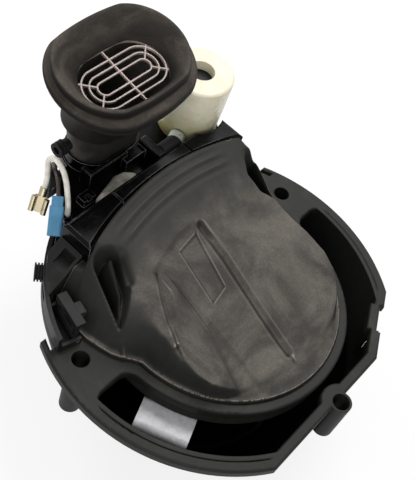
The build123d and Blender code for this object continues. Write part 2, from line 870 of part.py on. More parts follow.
def spout_bar(radius, end, start=0):
    """Round bar from the valve's axis outwards along the spout."""
    bar = Pos(start, 0, 0) * Rot(0, right_angle, 0) * Cylinder(radius, end - start, align=BASE)
    return Pos(valve_x, valve_y, spout_z) * Rot(0, 0, spout_turn) * bar


def valve_spout():
    shape = spout_bar(spout_r, spout_end, valve_foot_r - valve_wall)
    shape -= spout_bar(spout_bore, spout_end + over)
    return shape - rod(valve_r + gap, valve_low, valve_top, valve_x, valve_y)


def valve_hose():
    """Black hose that takes up the spout's end and turns along X to the lid."""
    turn = math.radians(spout_turn)
    start = (valve_x + (spout_end + gap) * math.cos(turn), valve_y + (spout_end + gap) * math.sin(turn),
             spout_z)
    knee = (start[0] + hose_straight * math.cos(turn), start[1] + hose_straight * math.sin(turn), spout_z)
    path = FilletPolyline(start, knee, (lid_right + gap, knee[1], spout_z), radius=hose_bend_r)
    return sweep(Plane(origin=path @ 0, z_dir=path % 0) * Circle(hose_r), path)


def valve_seat():
    """Plug at the valve's foot that carries the spring."""
    shape = rod(valve_foot_r - valve_wall - fit_gap, valve_low, valve_low + seat_t, valve_x, valve_y)
    return shape + rod(valve_coil_r - 2 * valve_wire, valve_low, valve_low + 2 * seat_t, valve_x, valve_y)


def piston_low():
    """Underside of the piston's flange at rest."""
    return valve_top - valve_cap_t - gap - piston_flange_t


def valve_piston():
    low = piston_low()
    shape = rod(piston_flange_r, low, low + piston_flange_t, valve_x, valve_y)
    shape += rod(piston_r, low, valve_top - piston_sink, valve_x, valve_y)
    return shape


def coil(radius, wire, turns, length):
    """Spring of half-turn arcs from z = 0 upwards: the centre line climbs by one pitch a turn."""
    height = length - wire
    step = height / (2 * turns)
    path = []
    for half in range(2 * turns):
        side = 1 if half % 2 == 0 else -1
        z = wire / 2 + half * step
        start = (side * radius, 0, z)
        middle = (0, side * radius, z + step / 2)
        end = (-side * radius, 0, z + step)
        path.append(ThreePointArc(start, middle, end))
    line = Wire(path)
    section = Plane(origin=line @ 0, z_dir=line % 0) * Circle(wire / 2)
    return sweep(section, line)


def valve_spring():
    low = valve_low + seat_t + fit_gap
    height = piston_low() - fit_gap - low
    return Pos(valve_x, valve_y, low) * coil(valve_coil_r, valve_wire, valve_turns, height)


def cable_bracket():
    """Ladder that guides the leads: two uprights, three rungs and the brown lead's strain relief."""
    x1 = -base_corner
    shape = block(-bracket_left, x1, base_corner_y, base_corner_y + bracket_t, bracket_low, base_top)
    room = (base_top - bracket_low - 3 * bracket_bar) / 2
    for level in range(2):
        low = bracket_low + bracket_bar + level * (room + bracket_bar)
        shape -= block(-bracket_left + bracket_bar, x1 - bracket_bar, base_corner_y - over,
                       base_corner_y + bracket_t + over, low, low + room)
    exit_x, exit_y, exit_z = brown_route[0]
    foot = block(-relief_left, -relief_left + relief_w, base_corner_y, exit_y + relief_r, relief_low,
                 base_top + gap)
    sleeve = rod(relief_r, base_top, exit_z - gap, exit_x, exit_y)
    return shape + foot + sleeve


def cable_grommet():
    """Ribbed rubber grommet through the housing's wall."""
    shape = Rot(0, right_angle, 0) * Cylinder(grommet_r - over - fit_gap, grommet_out, align=BASE)
    for level in range(grommet_ribs):
        disc = Rot(0, right_angle, 0) * Cylinder(grommet_r, grommet_out / 8, align=BASE)
        shape += Pos(housing_wall + gap + fit_gap + level * grommet_out / 4, 0, 0) * disc
    shape -= Rot(0, right_angle, 0) * Cylinder(grommet_bore, 3 * grommet_out)
    return around(Pos(rear_r - housing_wall, 0, grommet_z) * shape, grommet_angle)


def vent_stub():
    """Ribbed black stub on the neck's left end, with its open end to the left."""
    shape = Rot(0, right_angle, 0) * Cylinder(stub_r - stub_rib, stub_length, align=BASE)
    for level in range(stub_ribs):
        disc = Rot(0, right_angle, 0) * Cylinder(stub_r, stub_length / 8, align=BASE)
        shape += Pos(level * stub_length / 4, 0, 0) * disc
    bore = Rot(0, right_angle, 0) * Cylinder(stub_r / 2, stub_length / 2 + over, align=BASE)
    shape -= Pos(-over, 0, 0) * bore
    return Pos(-stub_left, stub_y, stub_z) * shape - neck_form(-gap, neck_low, over)


def bend_radii(route):
    """Radius of each bend of a lead: 0.45 of its shorter run over the tangent of half the turn."""
    points = [Vector(*p) for p in route]
    radii = []
    for before, here, after in zip(points, points[1:], points[2:]):
        turn = (here - before).get_angle(after - here)
        run = min((here - before).length, (after - here).length)
        radii.append(bend_share * run / math.tan(math.radians(turn / 2)))
    return radii


def lead(route, radius):
    """Lead along its route: straight runs joined by tangent arcs."""
    radii = bend_radii(route)
    path = FilletPolyline(*route, radius=radii)
    section = Plane(origin=path @ 0, z_dir=path % 0) * Circle(radius)
    shape = sweep(section, path)
    section_area = math.pi * radius * radius
    print("lead length", round(path.length, 1), "radii", [round(r, 1) for r in radii],
          "volume share", round(shape.volume / (section_area * path.length), 3))
    return shape


def along(end, before, twist):
    """Frame at a lead's end: z points onwards along the lead."""
    onward = (Vector(*end) - Vector(*before)).normalized()
    return Plane(origin=Vector(*end), x_dir=Vector(*twist).cross(onward), z_dir=onward)


def flag_terminal():
    """Tin terminal: a crimp barrel round the lead's end and a flat receptacle with rolled edges."""
    barrel_length = terminal_length / 3
    barrel = Cylinder(white_r + terminal_t, barrel_length, align=BASE)
    plate_low = barrel_length
    plate = Pos(0, 0, plate_low) * Box(terminal_w, terminal_t, terminal_length - plate_low, align=BASE)
    neck = Box(2 * white_r, terminal_t, 2 * barrel_length, align=BASE)
    shape = barrel + plate + neck
    for side in (-1, 1):
        roll = Pos(side * (terminal_w / 2), white_r, plate_low + terminal_t) * Cylinder(
            white_r, terminal_length - plate_low - terminal_t, align=BASE)
        shape += roll - Pos(side * (terminal_w / 2), white_r, 0) * Cylinder(
            white_r - terminal_t, terminal_length + over, align=BASE)
    return along(white_route[-1], white_route[-2], (0, 0, 1)) * shape


def blue_connector():
    """Insulated spade connector: a flat sleeve with a narrower waist where the lead goes in."""
    waist_length = connector_length / 4
    sleeve_length = connector_length - waist_length
    sleeve = Pos(0, 0, waist_length) * Box(connector_w, connector_t, sleeve_length, align=BASE)
    sleeve = fillet(sleeve.edges().filter_by(Axis.Z), connector_t / 3)
    waist = Box(connector_w - 2 * terminal_t, connector_t - terminal_t, connector_length / 3, align=BASE)
    waist = fillet(waist.edges().filter_by(Axis.Z), connector_t / 4)
    slot = Box(connector_w - 2 * terminal_t, terminal_t, connector_length, align=BASE)
    slot = Pos(0, 0, connector_length / 2) * slot
    return along(brown_route[-1], brown_route[-2], (0, 0, 1)) * (sleeve + waist - slot)


def ring_face(outer, inner):
    return Circle(outer) - Circle(inner)


def lower_frame():
    """Lower bearing boss, four arms and two legs up to the stator."""
    low = bearing_low()
    shape = rod(bearing_r + boss_wall, low, lower_bearing_z + bearing_h)
    for turn in (0, right_angle):
        arm = block(-frame_ring_r, frame_ring_r, -arm_w / 2, arm_w / 2, low, low + frame_t)
        shape += Rot(0, 0, turn) * arm
    legs = tube(frame_ring_r, frame_ring_r - frame_leg_w, low, core_low)
    shape += legs & block(-arm_w / 2, arm_w / 2, -reach, reach, low, core_low)
    for side in (-1, 1):
        inner = side * (holder_inner_x + holder_length / 2)
        outer = side * (holder_inner_x + holder_length)
        shape += block(min(inner, outer), max(inner, outer), -arm_w / 4, arm_w / 4, low, holder_low())
    shape -= rod(bearing_r, lower_bearing_z, core_low)
    shape -= rod(shaft_r + over, low - over, core_low)
    return at_motor(shape)


def bearing_low():
    """Underside of the lower frame, on its rubber mount."""
    return floor_t + wall + mount_h - over


def lower_mount():
    """Rubber ring in the cup's foot that holds the lower frame's boss."""
    return at_motor(tube(mount_r, bearing_r - boss_wall, floor_t + wall, bearing_low()))


def bearing(low):
    """Ball bearing as one ring, with a shield groove on each face."""
    shape = tube(bearing_r, shaft_r + fit_gap, low, low + bearing_h)
    middle = (bearing_r + shaft_r) / 2
    groove = ring_face(middle + over, middle - over)
    shape -= slab(groove, low - over, low + fit_gap * 8)
    shape -= slab(groove, low + bearing_h - fit_gap * 8, low + bearing_h + over)
    return at_motor(shape)


def motor_shaft():
    return at_motor(rod(shaft_r, shaft_low, shaft_top))


def commutator():
    """Copper barrel with slits between its bars."""
    shape = tube(commutator_r, shaft_r + fit_gap, commutator_low, commutator_low + commutator_h)
    for index in range(commutator_bars):
        slit = block(commutator_r - over, commutator_r + over, -bar_slit / 2, bar_slit / 2,
                     commutator_low - over, commutator_low + commutator_h + over)
        shape -= Rot(0, 0, index * full_turn / commutator_bars) * slit
    return at_motor(shape)


def slot_shapes(width, inner, outer, low, high):
    """Radial bars at the armature's slots."""
    bars = []
    for index in range(slot_count):
        bar = block(inner, outer, -width / 2, width / 2, low, high)
        bars.append(Rot(0, 0, index * full_turn / slot_count) * bar)
    return bars


def armature_core():
    shape = tube(armature_r, shaft_r + fit_gap, core_low, core_low + core_h)
    for slot in slot_shapes(slot_w, armature_r - slot_depth, armature_r + over, core_low - over,
                            core_low + core_h + over):
        shape -= slot
    return at_motor(shape)


def armature_winding():
    """Winding: a bar in each slot, joined above and below by the end turns."""
    low = core_low - winding_gap
    high = core_low + core_h + winding_gap
    shape = tube(winding_r, winding_hub_r, low - winding_h, low)
    shape += tube(winding_r, winding_hub_r, high, high + winding_h)
    inner = armature_r - slot_depth + winding_gap
    for bar in slot_shapes(slot_w - 2 * winding_gap, inner, winding_r, low - winding_h / 2,
                           high + winding_h / 2):
        shape += bar
    return at_motor(shape)


def stator_core():
    """Laminated ring with two poles whose shoes face the armature."""
    ring = ring_face(stator_r, stator_r - stator_wall)
    pole = Rectangle(2 * stator_r - stator_wall, pole_w) & Circle(stator_r - stator_wall / 2)
    shoes = ring_face(pole_bore_r + pole_t, pole_bore_r) & Rectangle(2 * stator_r, pole_shoe_w)
    plan = ring + (pole + shoes) - Circle(pole_bore_r)
    return at_motor(slab(plan, core_low, core_low + core_h))


def field_coil(side):
    """Field coil round one pole."""
    low = core_low - coil_over
    high = core_low + core_h + coil_over
    shape = block(coil_inner_x, coil_inner_x + coil_t, -coil_half, coil_half, low, high)
    shape = fillet(shape.edges().filter_by(Axis.X), coil_over)
    shape -= block(coil_inner_x - over, coil_inner_x + coil_t + over, -pole_w / 2 - gap, pole_w / 2 + gap,
                   core_low - gap, core_low + core_h + gap)
    shape = shape & rod(stator_r - stator_wall - gap, low, high)
    return at_motor(shape if side > 0 else Rot(0, 0, half_turn) * shape)


def upper_frame():
    """Plate under the fan with the upper bearing's boss and two legs down to the stator."""
    shape = tube(upper_frame_r, bearing_r, upper_frame_z, upper_frame_z + upper_frame_t)
    shape += tube(bearing_r + boss_wall, bearing_r, upper_bearing_z, upper_bearing_z + bearing_h)
    legs = tube(stator_r, stator_r - frame_leg_w, core_low + core_h, upper_frame_z + over)
    shape += legs & block(-arm_w / 2, arm_w / 2, -reach, reach, core_low, flange_z)
    for index in range(slot_count):
        angle = index * full_turn / slot_count + half_turn / slot_count
        opening = rod(arm_w / 4, upper_frame_z - over, upper_frame_z + upper_frame_t + over,
                      (stator_r - stator_wall) * math.cos(math.radians(angle)),
                      (stator_r - stator_wall) * math.sin(math.radians(angle)))
        if abs(math.sin(math.radians(angle))) < air_hole_share:
            shape -= opening
    return at_motor(shape)


def vane(inner, outer, turn, low, high, index, count):
    """Straight vane that leans back from the radius."""
    bar = Pos(inner, 0, low) * Rot(0, 0, turn) * Box(outer - inner, vane_t, high - low,
                                                    align=(Align.MIN, Align.CENTER, Align.MIN))
    return Rot(0, 0, index * full_turn / count) * bar


def diffuser():
    low = upper_frame_z + upper_frame_t
    high = low + diffuser_h
    hub = bearing_r + boss_wall + gap
    shape = tube(diffuser_r, hub, low, low + diffuser_t)
    vanes = vane(hub + boss_wall, diffuser_r, vane_turn, low, high, 0, diffuser_vanes)
    for index in range(1, diffuser_vanes):
        vanes += vane(hub + boss_wall, diffuser_r, vane_turn, low, high, index, diffuser_vanes)
    shape += vanes & rod(diffuser_r, low, high)
    return at_motor(shape + tube(fan_r - boss_wall, hub, high - diffuser_t, high))


def impeller():
    high = fan_low + fan_h
    shape = tube(fan_r, shaft_r + fit_gap, fan_low, fan_low + fan_plate)
    shape += tube(fan_hub_r, shaft_r + fit_gap, fan_low, high)
    shape += tube(fan_r, eye_r, high - fan_plate, high)
    blades = vane(fan_hub_r, fan_r, blade_turn, fan_low, high, 0, fan_blades)
    for index in range(1, fan_blades):
        blades += vane(fan_hub_r, fan_r, blade_turn, fan_low, high, index, fan_blades)
    blades = blades & tube(fan_r, fan_hub_r, fan_low, high)
    return at_motor(shape + blades)


def impeller_nut():
    nut = slab(RegularPolygon(nut_r, nut_sides), fan_low + fan_h, fan_low + fan_h + nut_h)
    return at_motor(nut - rod(shaft_r + fit_gap, fan_low, flange_z))


def tray_plan(outer_r, inner_r, rear_gap):
    """Flange outline that follows the bucket's tray, with a round hole."""
    plan = d_plan(outer_r, bucket_rear - 2 * wall - rear_gap)
    return plan - Pos(motor_x, motor_y) * Circle(inner_r)


def fan_shroud():
    """Pressed can over the fan, with the eye in its top and a flange on the rubber ring."""
    flange_low = skirt_z + wall + upper_mount_h
    shape = rod(shroud_r, upper_frame_z, shroud_top)
    shape -= rod(shroud_r - shroud_t, upper_frame_z - over, shroud_top - shroud_t)
    shape = at_motor(shape - rod(eye_r - over, upper_frame_z, flange_z))
    plan = tray_plan(shroud_flange_r, shroud_r - shroud_t, over)
    return shape + slab(plan, flange_low, flange_low + shroud_flange_t)


def upper_mount():
    low = skirt_z + wall
    plan = tray_plan(shroud_flange_r + over, shroud_flange_r - upper_mount_w, gap)
    return slab(plan, low, low + upper_mount_h)


def holder_low():
    """Underside of the brush holders."""
    return brush_z - brush_h / 2 - brush_gap - holder_wall


def holder_box(grow, x0, x1):
    """Box round the brush, grown by a margin across its width and height."""
    half_w = brush_w / 2 + grow
    half_h = brush_h / 2 + grow
    return block(x0, x1, -half_w, half_w, brush_z - half_h, brush_z + half_h)


def to_side(shape, side):
    """Shape built on the right of the motor, turned to its side."""
    return at_motor(shape if side > 0 else Rot(0, 0, half_turn) * shape)


def brush_holder(side):
    end = holder_inner_x + holder_length
    shape = holder_box(brush_gap + holder_wall, holder_inner_x, end)
    return to_side(shape - holder_box(brush_gap, holder_inner_x - over, end - holder_wall), side)


def brush(side):
    start = commutator_r + gap / 2
    shape = holder_box(0, start, start + brush_length)
    return to_side(shape - rod(start, 0, flange_z), side)


def brush_spring(side):
    start = commutator_r + gap / 2 + brush_length + fit_gap
    end = holder_inner_x + holder_length - holder_wall - fit_gap
    spring = Rot(0, right_angle, 0) * coil(brush_coil_r, brush_wire, brush_turns, end - start)
    return to_side(Pos(start, 0, brush_z) * spring, side)


save("outer_bowl", outer_bowl())
save("motor_bucket", motor_bucket())
save("capacitor", capacitor())
save("cover_gasket", cover_gasket())
save("motor_cover", motor_cover())
save("duct_rail", duct_rail())
save("duct_base", duct_base())
save("duct_lid", duct_lid())
save("rail_strip", rail_strip())
save("rear_housing", rear_housing())
save("side_latch", side_latch())
save("latch_pin", latch_pin())
save("inlet_neck", inlet_neck())
save("inlet_grille", inlet_grille())
save("inlet_seal", inlet_seal())
save("valve_body", valve_body())
save("valve_spout", valve_spout())
save("valve_hose", valve_hose())
save("valve_seat", valve_seat())
save("valve_piston", valve_piston())
save("valve_spring", valve_spring())
save("cable_bracket", cable_bracket())
save("cable_grommet", cable_grommet())
save("vent_stub", vent_stub())
save("white_lead", lead(white_route, white_r))
save("flag_terminal", flag_terminal())
save("brown_lead", lead(brown_route, brown_r))
save("blue_connector", blue_connector())
save("lower_frame", lower_frame())
save("lower_mount", lower_mount())
save("lower_bearing", bearing(lower_bearing_z))
save("upper_bearing", bearing(upper_bearing_z))
save("motor_shaft", motor_shaft())
save("commutator", commutator())
save("armature_core", armature_core())
save("armature_winding", armature_winding())
save("stator_core", stator_core())
save("upper_frame", upper_frame())
save("diffuser", diffuser())
save("impeller", impeller())
save("impeller_nut", impeller_nut())
save("fan_shroud", fan_shroud())
save("upper_mount", upper_mount())
for name, side in (("left", -1), ("right", 1)):
    save(f"field_coil_{name}", field_coil(side))
    save(f"brush_holder_{name}", brush_holder(side))
    save(f"brush_{name}", brush(side))
    save(f"brush_spring_{name}", brush_spring(side))
print("sub-parts", len(made))
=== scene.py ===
"""Looks of the vacuum motor unit: materials, modelled cover, seal and leads, light and camera.

Everything is in the part's own frame. Shapes are worked out in millimetres and written in metres.
"""
import math

import bmesh
import bpy
import numpy as np
from mathutils import Matrix, Vector


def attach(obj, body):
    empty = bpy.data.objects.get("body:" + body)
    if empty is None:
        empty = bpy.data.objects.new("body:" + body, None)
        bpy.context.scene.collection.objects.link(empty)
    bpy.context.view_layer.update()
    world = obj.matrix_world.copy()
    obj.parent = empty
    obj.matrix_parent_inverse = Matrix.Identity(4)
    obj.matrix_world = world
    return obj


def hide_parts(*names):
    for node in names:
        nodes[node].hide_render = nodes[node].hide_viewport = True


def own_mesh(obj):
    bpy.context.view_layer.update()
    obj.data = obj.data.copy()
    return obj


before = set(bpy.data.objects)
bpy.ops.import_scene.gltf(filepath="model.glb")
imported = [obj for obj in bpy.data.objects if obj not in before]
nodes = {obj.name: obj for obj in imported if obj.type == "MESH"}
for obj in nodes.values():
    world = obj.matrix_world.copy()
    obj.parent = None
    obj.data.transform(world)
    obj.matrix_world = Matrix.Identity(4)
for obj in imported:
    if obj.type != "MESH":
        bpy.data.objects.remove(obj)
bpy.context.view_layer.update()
MM = 0.001

# Cover: the values of the sloping top, the lip and the outline
MOTOR_X = 2.5
MOTOR_Y = -1.5
HOOD_REAR = 58.0
TOP_Z = 127.0
SLOPE = math.tan(math.radians(16.3))
LIP_R = 70.5
LIP_Z = 88.0
LIP_W = 1.6
FLANGE_Z = 85.0
INNER_R = 91.7
DUCT_Z = 110.3
WALL_Y = 57.9
REAR_CENTRE = (8.0, -118.0)
REAR_R = 185.0
REAR_ROUND = 2.2
ARC_HALF = 59.0
LATCH_PLACE = (-82.3, 43.5)
LATCH_TURN = 165.0
GRID = 0.6

# Cover: its outlines and lines in plan
LIP_RIGHT = [(75.5, 6.0), (78.0, 12.0), (79.5, 19.0), (80.5, 26.0), (82.0, 34.0)]
LIP_LEFT = [(-77.0, 53.5), (-79.4, 44.5), (-80.8, 39.0), (-80.6, 34.0), (-80.4, 29.0), (-78.9, 21.0),
            (-77.0, 13.5), (-74.2, 8.0), (-70.8, 3.5)]
TOP_EDGE = [(-58.0, 200.0), (-54.0, 58.0), (-51.5, 47.0), (-48.0, 44.0), (-50.0, 36.0), (-52.0, 25.0),
            (-57.0, 5.0), (-59.0, -12.0), (-58.1, -18.6), (-58.5, -29.4), (-55.5, -39.3), (-48.9, -46.6),
            (-39.3, -51.3), (-29.1, -54.9), (-17.7, -58.7), (-3.5, -60.3), (13.0, -60.5), (28.0, -59.0),
            (38.5, -56.5), (47.0, -52.5), (53.5, -47.5), (60.5, -38.0), (63.5, -27.2), (62.5, -11.6),
            (60.6, -2.0), (59.4, 7.8), (59.6, 15.5), (62.5, 24.0), (65.7, 30.0), (70.4, 40.6), (69.0, 52.0),
            (66.0, 200.0)]
SHOULDER = [(-64.0, 140.0), (-60.0, 58.0), (-57.5, 46.5), (-70.0, 17.0), (-82.7, -13.0), (-300.0, -13.0),
            (-300.0, 140.0)]
CREST_Y = [-13.0, 17.0, 46.5, 58.0, 70.0]
CREST_Z = [75.0, 97.0, 120.5, 122.5, 123.0]
FOLD = [(-66.0, 40.0), (-79.5, 46.0)]
LEFT_POCKET = [(-57.5, 46.0), (-53.0, 44.0), (-58.5, 29.5), (-69.0, 17.5)]
RIGHT_POCKET = [(65.5, 43.4), (70.1, 41.5), (64.8, 26.4), (60.5, 17.0), (56.9, 23.7), (58.3, 34.1)]
FIN = [(-53.5, 44.5), (-59.0, 29.0), (-69.5, 17.0)]
FIN_VALLEY = [(-49.0, 42.0), (-53.0, 30.0)]
CREASE = [(-37.6, 23.4), (-44.8, 12.6), (-50.9, 1.4), (-56.5, -11.2), (-58.5, -18.2)]
PANEL = [(-37.6, 23.4), (-28.5, 26.4), (-11.8, 30.6), (-0.2, 31.1), (5.0, 30.2), (3.6, 7.4), (0.5, -14.0),
         (-1.8, -30.0), (-3.7, -46.1), (-4.7, -90.0), (-100.0, -90.0), (-100.0, -18.2),
         (-55.4, -11.2), (-50.2, 1.4), (-44.2, 12.6)]
LEAF = [(-37.0, 21.0), (-33.8, 12.6), (-34.4, -2.0), (-37.5, -24.0), (-52.0, -90.0), (-100.0, -90.0),
        (-100.0, -18.0), (-49.0, 2.0)]
VALLEY = [(-33.0, 21.0), (-31.0, 15.0), (-30.5, -2.0), (-29.5, -18.9), (-31.5, -90.0), (-56.0, -90.0),
          (-37.5, -24.0), (-34.8, -2.0)]
RECESS = [(-16.9, 25.6), (-0.1, 28.1), (-8.1, -4.6), (-21.6, -7.4)]
GROOVE = [(5.0, 29.0), (3.6, 7.4), (0.5, -14.0), (-1.8, -30.0), (-3.7, -46.1), (-4.4, -54.0)]
RIGHT_RIDGE = [(63.1, 43.5), (53.4, 29.5), (46.4, 6.3), (47.4, -0.2)]
FIN_Y = [17.0, 29.0, 44.5]
FIN_Z = [97.0, 108.0, 120.5]
REAR_Y = 200.0
LIP_RIGHT_X = 82.0
LIP_LEFT_X = -76.0

# Cover: how high or deep its forms are, how wide, and from where to where they fade in, in millimetres
PANEL_SINK, PANEL_FADE = 1.5, (-0.8, 1.4)
CHEVRON_Y, CHEVRON_FADE = (18.0, 24.0), (-3.8, 0.6)
CREASE_SINK, CREASE_W = 1.0, 1.1
LEAF_RISE, LEAF_FADE = 1.7, (-0.5, 5.0)
VALLEY_SINK, VALLEY_FADE = 2.0, (-1.4, 3.6)
RECESS_SINK, RECESS_FADE = 0.9, (-0.5, 0.9)
RELIEF_FADE = (0.5, 7.0)
GROOVE_SINK, GROOVE_FADE = 1.3, (0.4, 3.4)
GROOVE_BEAD, GROOVE_BEAD_PLACE, GROOVE_BEAD_W = 0.25, 3.8, 1.3
RIGHT_RIDGE_RISE, RIGHT_RIDGE_W = 0.6, 2.0
EDGE_SINK, EDGE_W = 0.9, 2.4
FOLD_SINK, FOLD_W = 2.2, 3.0
FIN_VALLEY_SINK, FIN_VALLEY_W = 5.0, 3.0
FIN_HALF = 0.8
WALL_PITCH = 4.0
POCKETS = ((LEFT_POCKET, 92.0), (RIGHT_POCKET, 100.0))
POCKET_ROUND = 1.6
FLANK_X = (38, 56)
FLANK_Y = (-44, -12)
FRONT_BELLY = 1.35
FLANK_BELLY = 1.7
APRON_BELLY = 1.5
APRON_PITCH = 0.6
BLEND_W = 1.0
BACK_REACH = 0.3
TINY = 0.001
REAR_RIDGES = [(5.5, -0.3, 1.1), (8.0, 0.25, 1.2), (11.0, -0.4, 1.3), (14.0, 0.3, 1.3), (17.0, -0.3, 1.5)]
RIDGES_LEFT = (-46.0, -30.0)
RIDGES_RIGHT = (40.0, 54.0)

# Cover: the grid's reach, and how its painted light and shade is read off the relief: painted highlights on
# ridges and edges, painted shade in hollows
GRID_X = (-84.0, 84.0)
GRID_Y = (-74.0, 69.0)
EDGE_REACH = 1.2 * GRID
PROBE = 0.1
SOFTEN = 0.6
BEND_REACH = 0.9
BEND_GAIN = 1.4
TOP_FADE = (-1.5, 1.0)
CORNER_OUT = 0.4
REAR_FROM = 40
ARC_POINTS = 60
LIP_POINTS = 48
PLAIN_SHADING = 0.4
EDGE_HIGHLIGHT = 0.85
POCKET_SHADE, POCKET_REACH = 0.05, 0.5
FIN_VALLEY_SHADE, FIN_REACH = 0.25, 2.5

# Catch on the cover's left wall: its profile outwards from the latch's pin, and its half width
CATCH_PROFILE = [(-9.6, 85.0), (-2.6, 85.0), (-2.6, 95.5), (-4.6, 99.0), (-9.6, 99.0)]
CATCH_HALF = 4.0
CATCH_BEVEL = 0.6

# Inlet: mouth, seal and neck
NECK_PLACE = (6.0, 110.5)
MOUTH_PLACE = (6.0, 104.0)
MOUTH_Z = 173.0
MOUTH_TILT = math.radians(10.0)
CUFF_Z = 141.5
RING_POINTS = 160

# Seal: length, width, height and shift of each ring, from the funnel over the lip to the ridges
LIP_STATIONS = [(57.6, 37.6, 174.7, 0), (60, 39.4, 176.6, 0.4), (64, 42.4, 179.2, 1), (69, 46.4, 181.8, 1.8),
                (75, 51, 184.2, 2.6), (79.5, 54.8, 185.8, 3.2), (82.5, 57.4, 186.5, 3.5),
                (85, 59.4, 186.2, 3.5), (86.2, 60.4, 184.8, 3.5), (85.2, 59.6, 183.2, 3.2),
                (84.4, 59.4, 181.6, 3), (87, 62.6, 181.0, 2.8), (91, 67.0, 180.4, 2.6),
                (93.0, 69.2, 179.0, 2.6), (93.0, 69.4, 177.2, 2.6), (91, 67.6, 175.8, 2.2),
                (87, 63.4, 174.8, 1.4)]
# Seal: the ridges under the lip, each a little smaller and lower than the one above
RIDGE_START = (83.0, 59.6, 173.8)
RIDGE_STEP = (-4.4, -4.4, -3.3)
RIDGE_PROFILE = [(0.0, 0.0), (1.8, -0.8), (1.6, -2.0), (-1.8, -2.7)]
RIDGE_COUNT = 4
# Seal: the rings from the last ridge down to the cuff's foot and up inside it
CUFF_STATIONS = [(65.4, 43.6, 159.6, 0), (62.6, 42.2, 154.6, 0), (60.6, 40.6, 148.0, 0),
                 (60.0, 40.0, 142.0, 0), (58.8, 38.8, 141.5, 0), (57.6, 37.6, 142.0, 0),
                 (58.6, 38.6, 150.0, 0)]

# Leads: the routes' points in millimetres
WHITE_ROUTE = [(-46.0, 84.5, 110.0), (-46.0, 84.5, 117.0), (-42.6, 89.4, 122.5), (-39.2, 94.6, 127.0),
               (-36.9, 100.2, 130.4), (-36.0, 107.0, 132.2), (-36.5, 110.3, 130.7), (-37.6, 111.5, 127.4),
               (-39.3, 109.2, 122.9), (-41.4, 106.8, 118.4), (-43.9, 105.6, 114.3)]
BROWN_ROUTE = [(-29.5, 113.5, 116.5), (-31.9, 112.6, 121.0), (-35.5, 108.0, 124.4), (-39.8, 101.3, 125.8),
               (-43.3, 95.9, 124.6), (-46.9, 92.5, 121.8)]
WHITE_R = 1.6
BROWN_R = 1.1

# Camera and light
CAMERA_PLACE = Vector((-0.2853, -0.1054, 0.5191))
CAMERA_RIGHT = Vector((0.6426, -0.7309, 0.2298))
CAMERA_UP = Vector((0.5205, 0.6364, 0.5692))
CAMERA_LENS = 67.5
CAMERA_SENSOR = 36.0
LIGHTS = [("key", (0.55, 0.15, 1.1), 0.7, 9.0), ("fill", (-0.9, -0.5, 0.7), 0.9, 5.0),
          ("rim", (0.1, 0.9, 0.6), 0.5, 4.0)]
LIGHT_TARGET = (0.0, 0.02, 0.09)
WORLD_LIGHT = 0.55
FLOOR_HALF = 4.0
FLOOR_DROP = 0.0003
FLOOR_GLOW = 0.8
WHITE = (1.0, 1.0, 1.0, 1.0)

# Springs by the joint they sit on: joint, axis number, travel, and which end stays
SPRINGS = {
    "valve_spring": ("valve_slide", 2, 8.0, min),
    "brush_spring_left": ("brush_left_slide", 0, 3.0, min),
    "brush_spring_right": ("brush_right_slide", 0, 3.0, max),
}

# Materials: noise in features per metre, and the refraction of clear plastic
SPECKLE = 900.0
MOTTLE = 260.0
GRAIN = 2600.0
RUB = 70.0
REAR_DARK_EDGE = 35.0
IOR = 1.45


def srgb(red, green, blue):
    """Colour written in 0 to 255 screen values, as a linear colour."""
    def linear(value):
        value /= 255
        return value / 12.92 if value <= 0.04045 else ((value + 0.055) / 1.055) ** 2.4
    return (linear(red), linear(green), linear(blue), 1.0)


def shade(colour, factor, lift=0.0):
    """Colour made darker or paler."""
    return tuple(min(1.0, c * factor + lift) for c in colour[:3]) + (1.0,)


# Materials


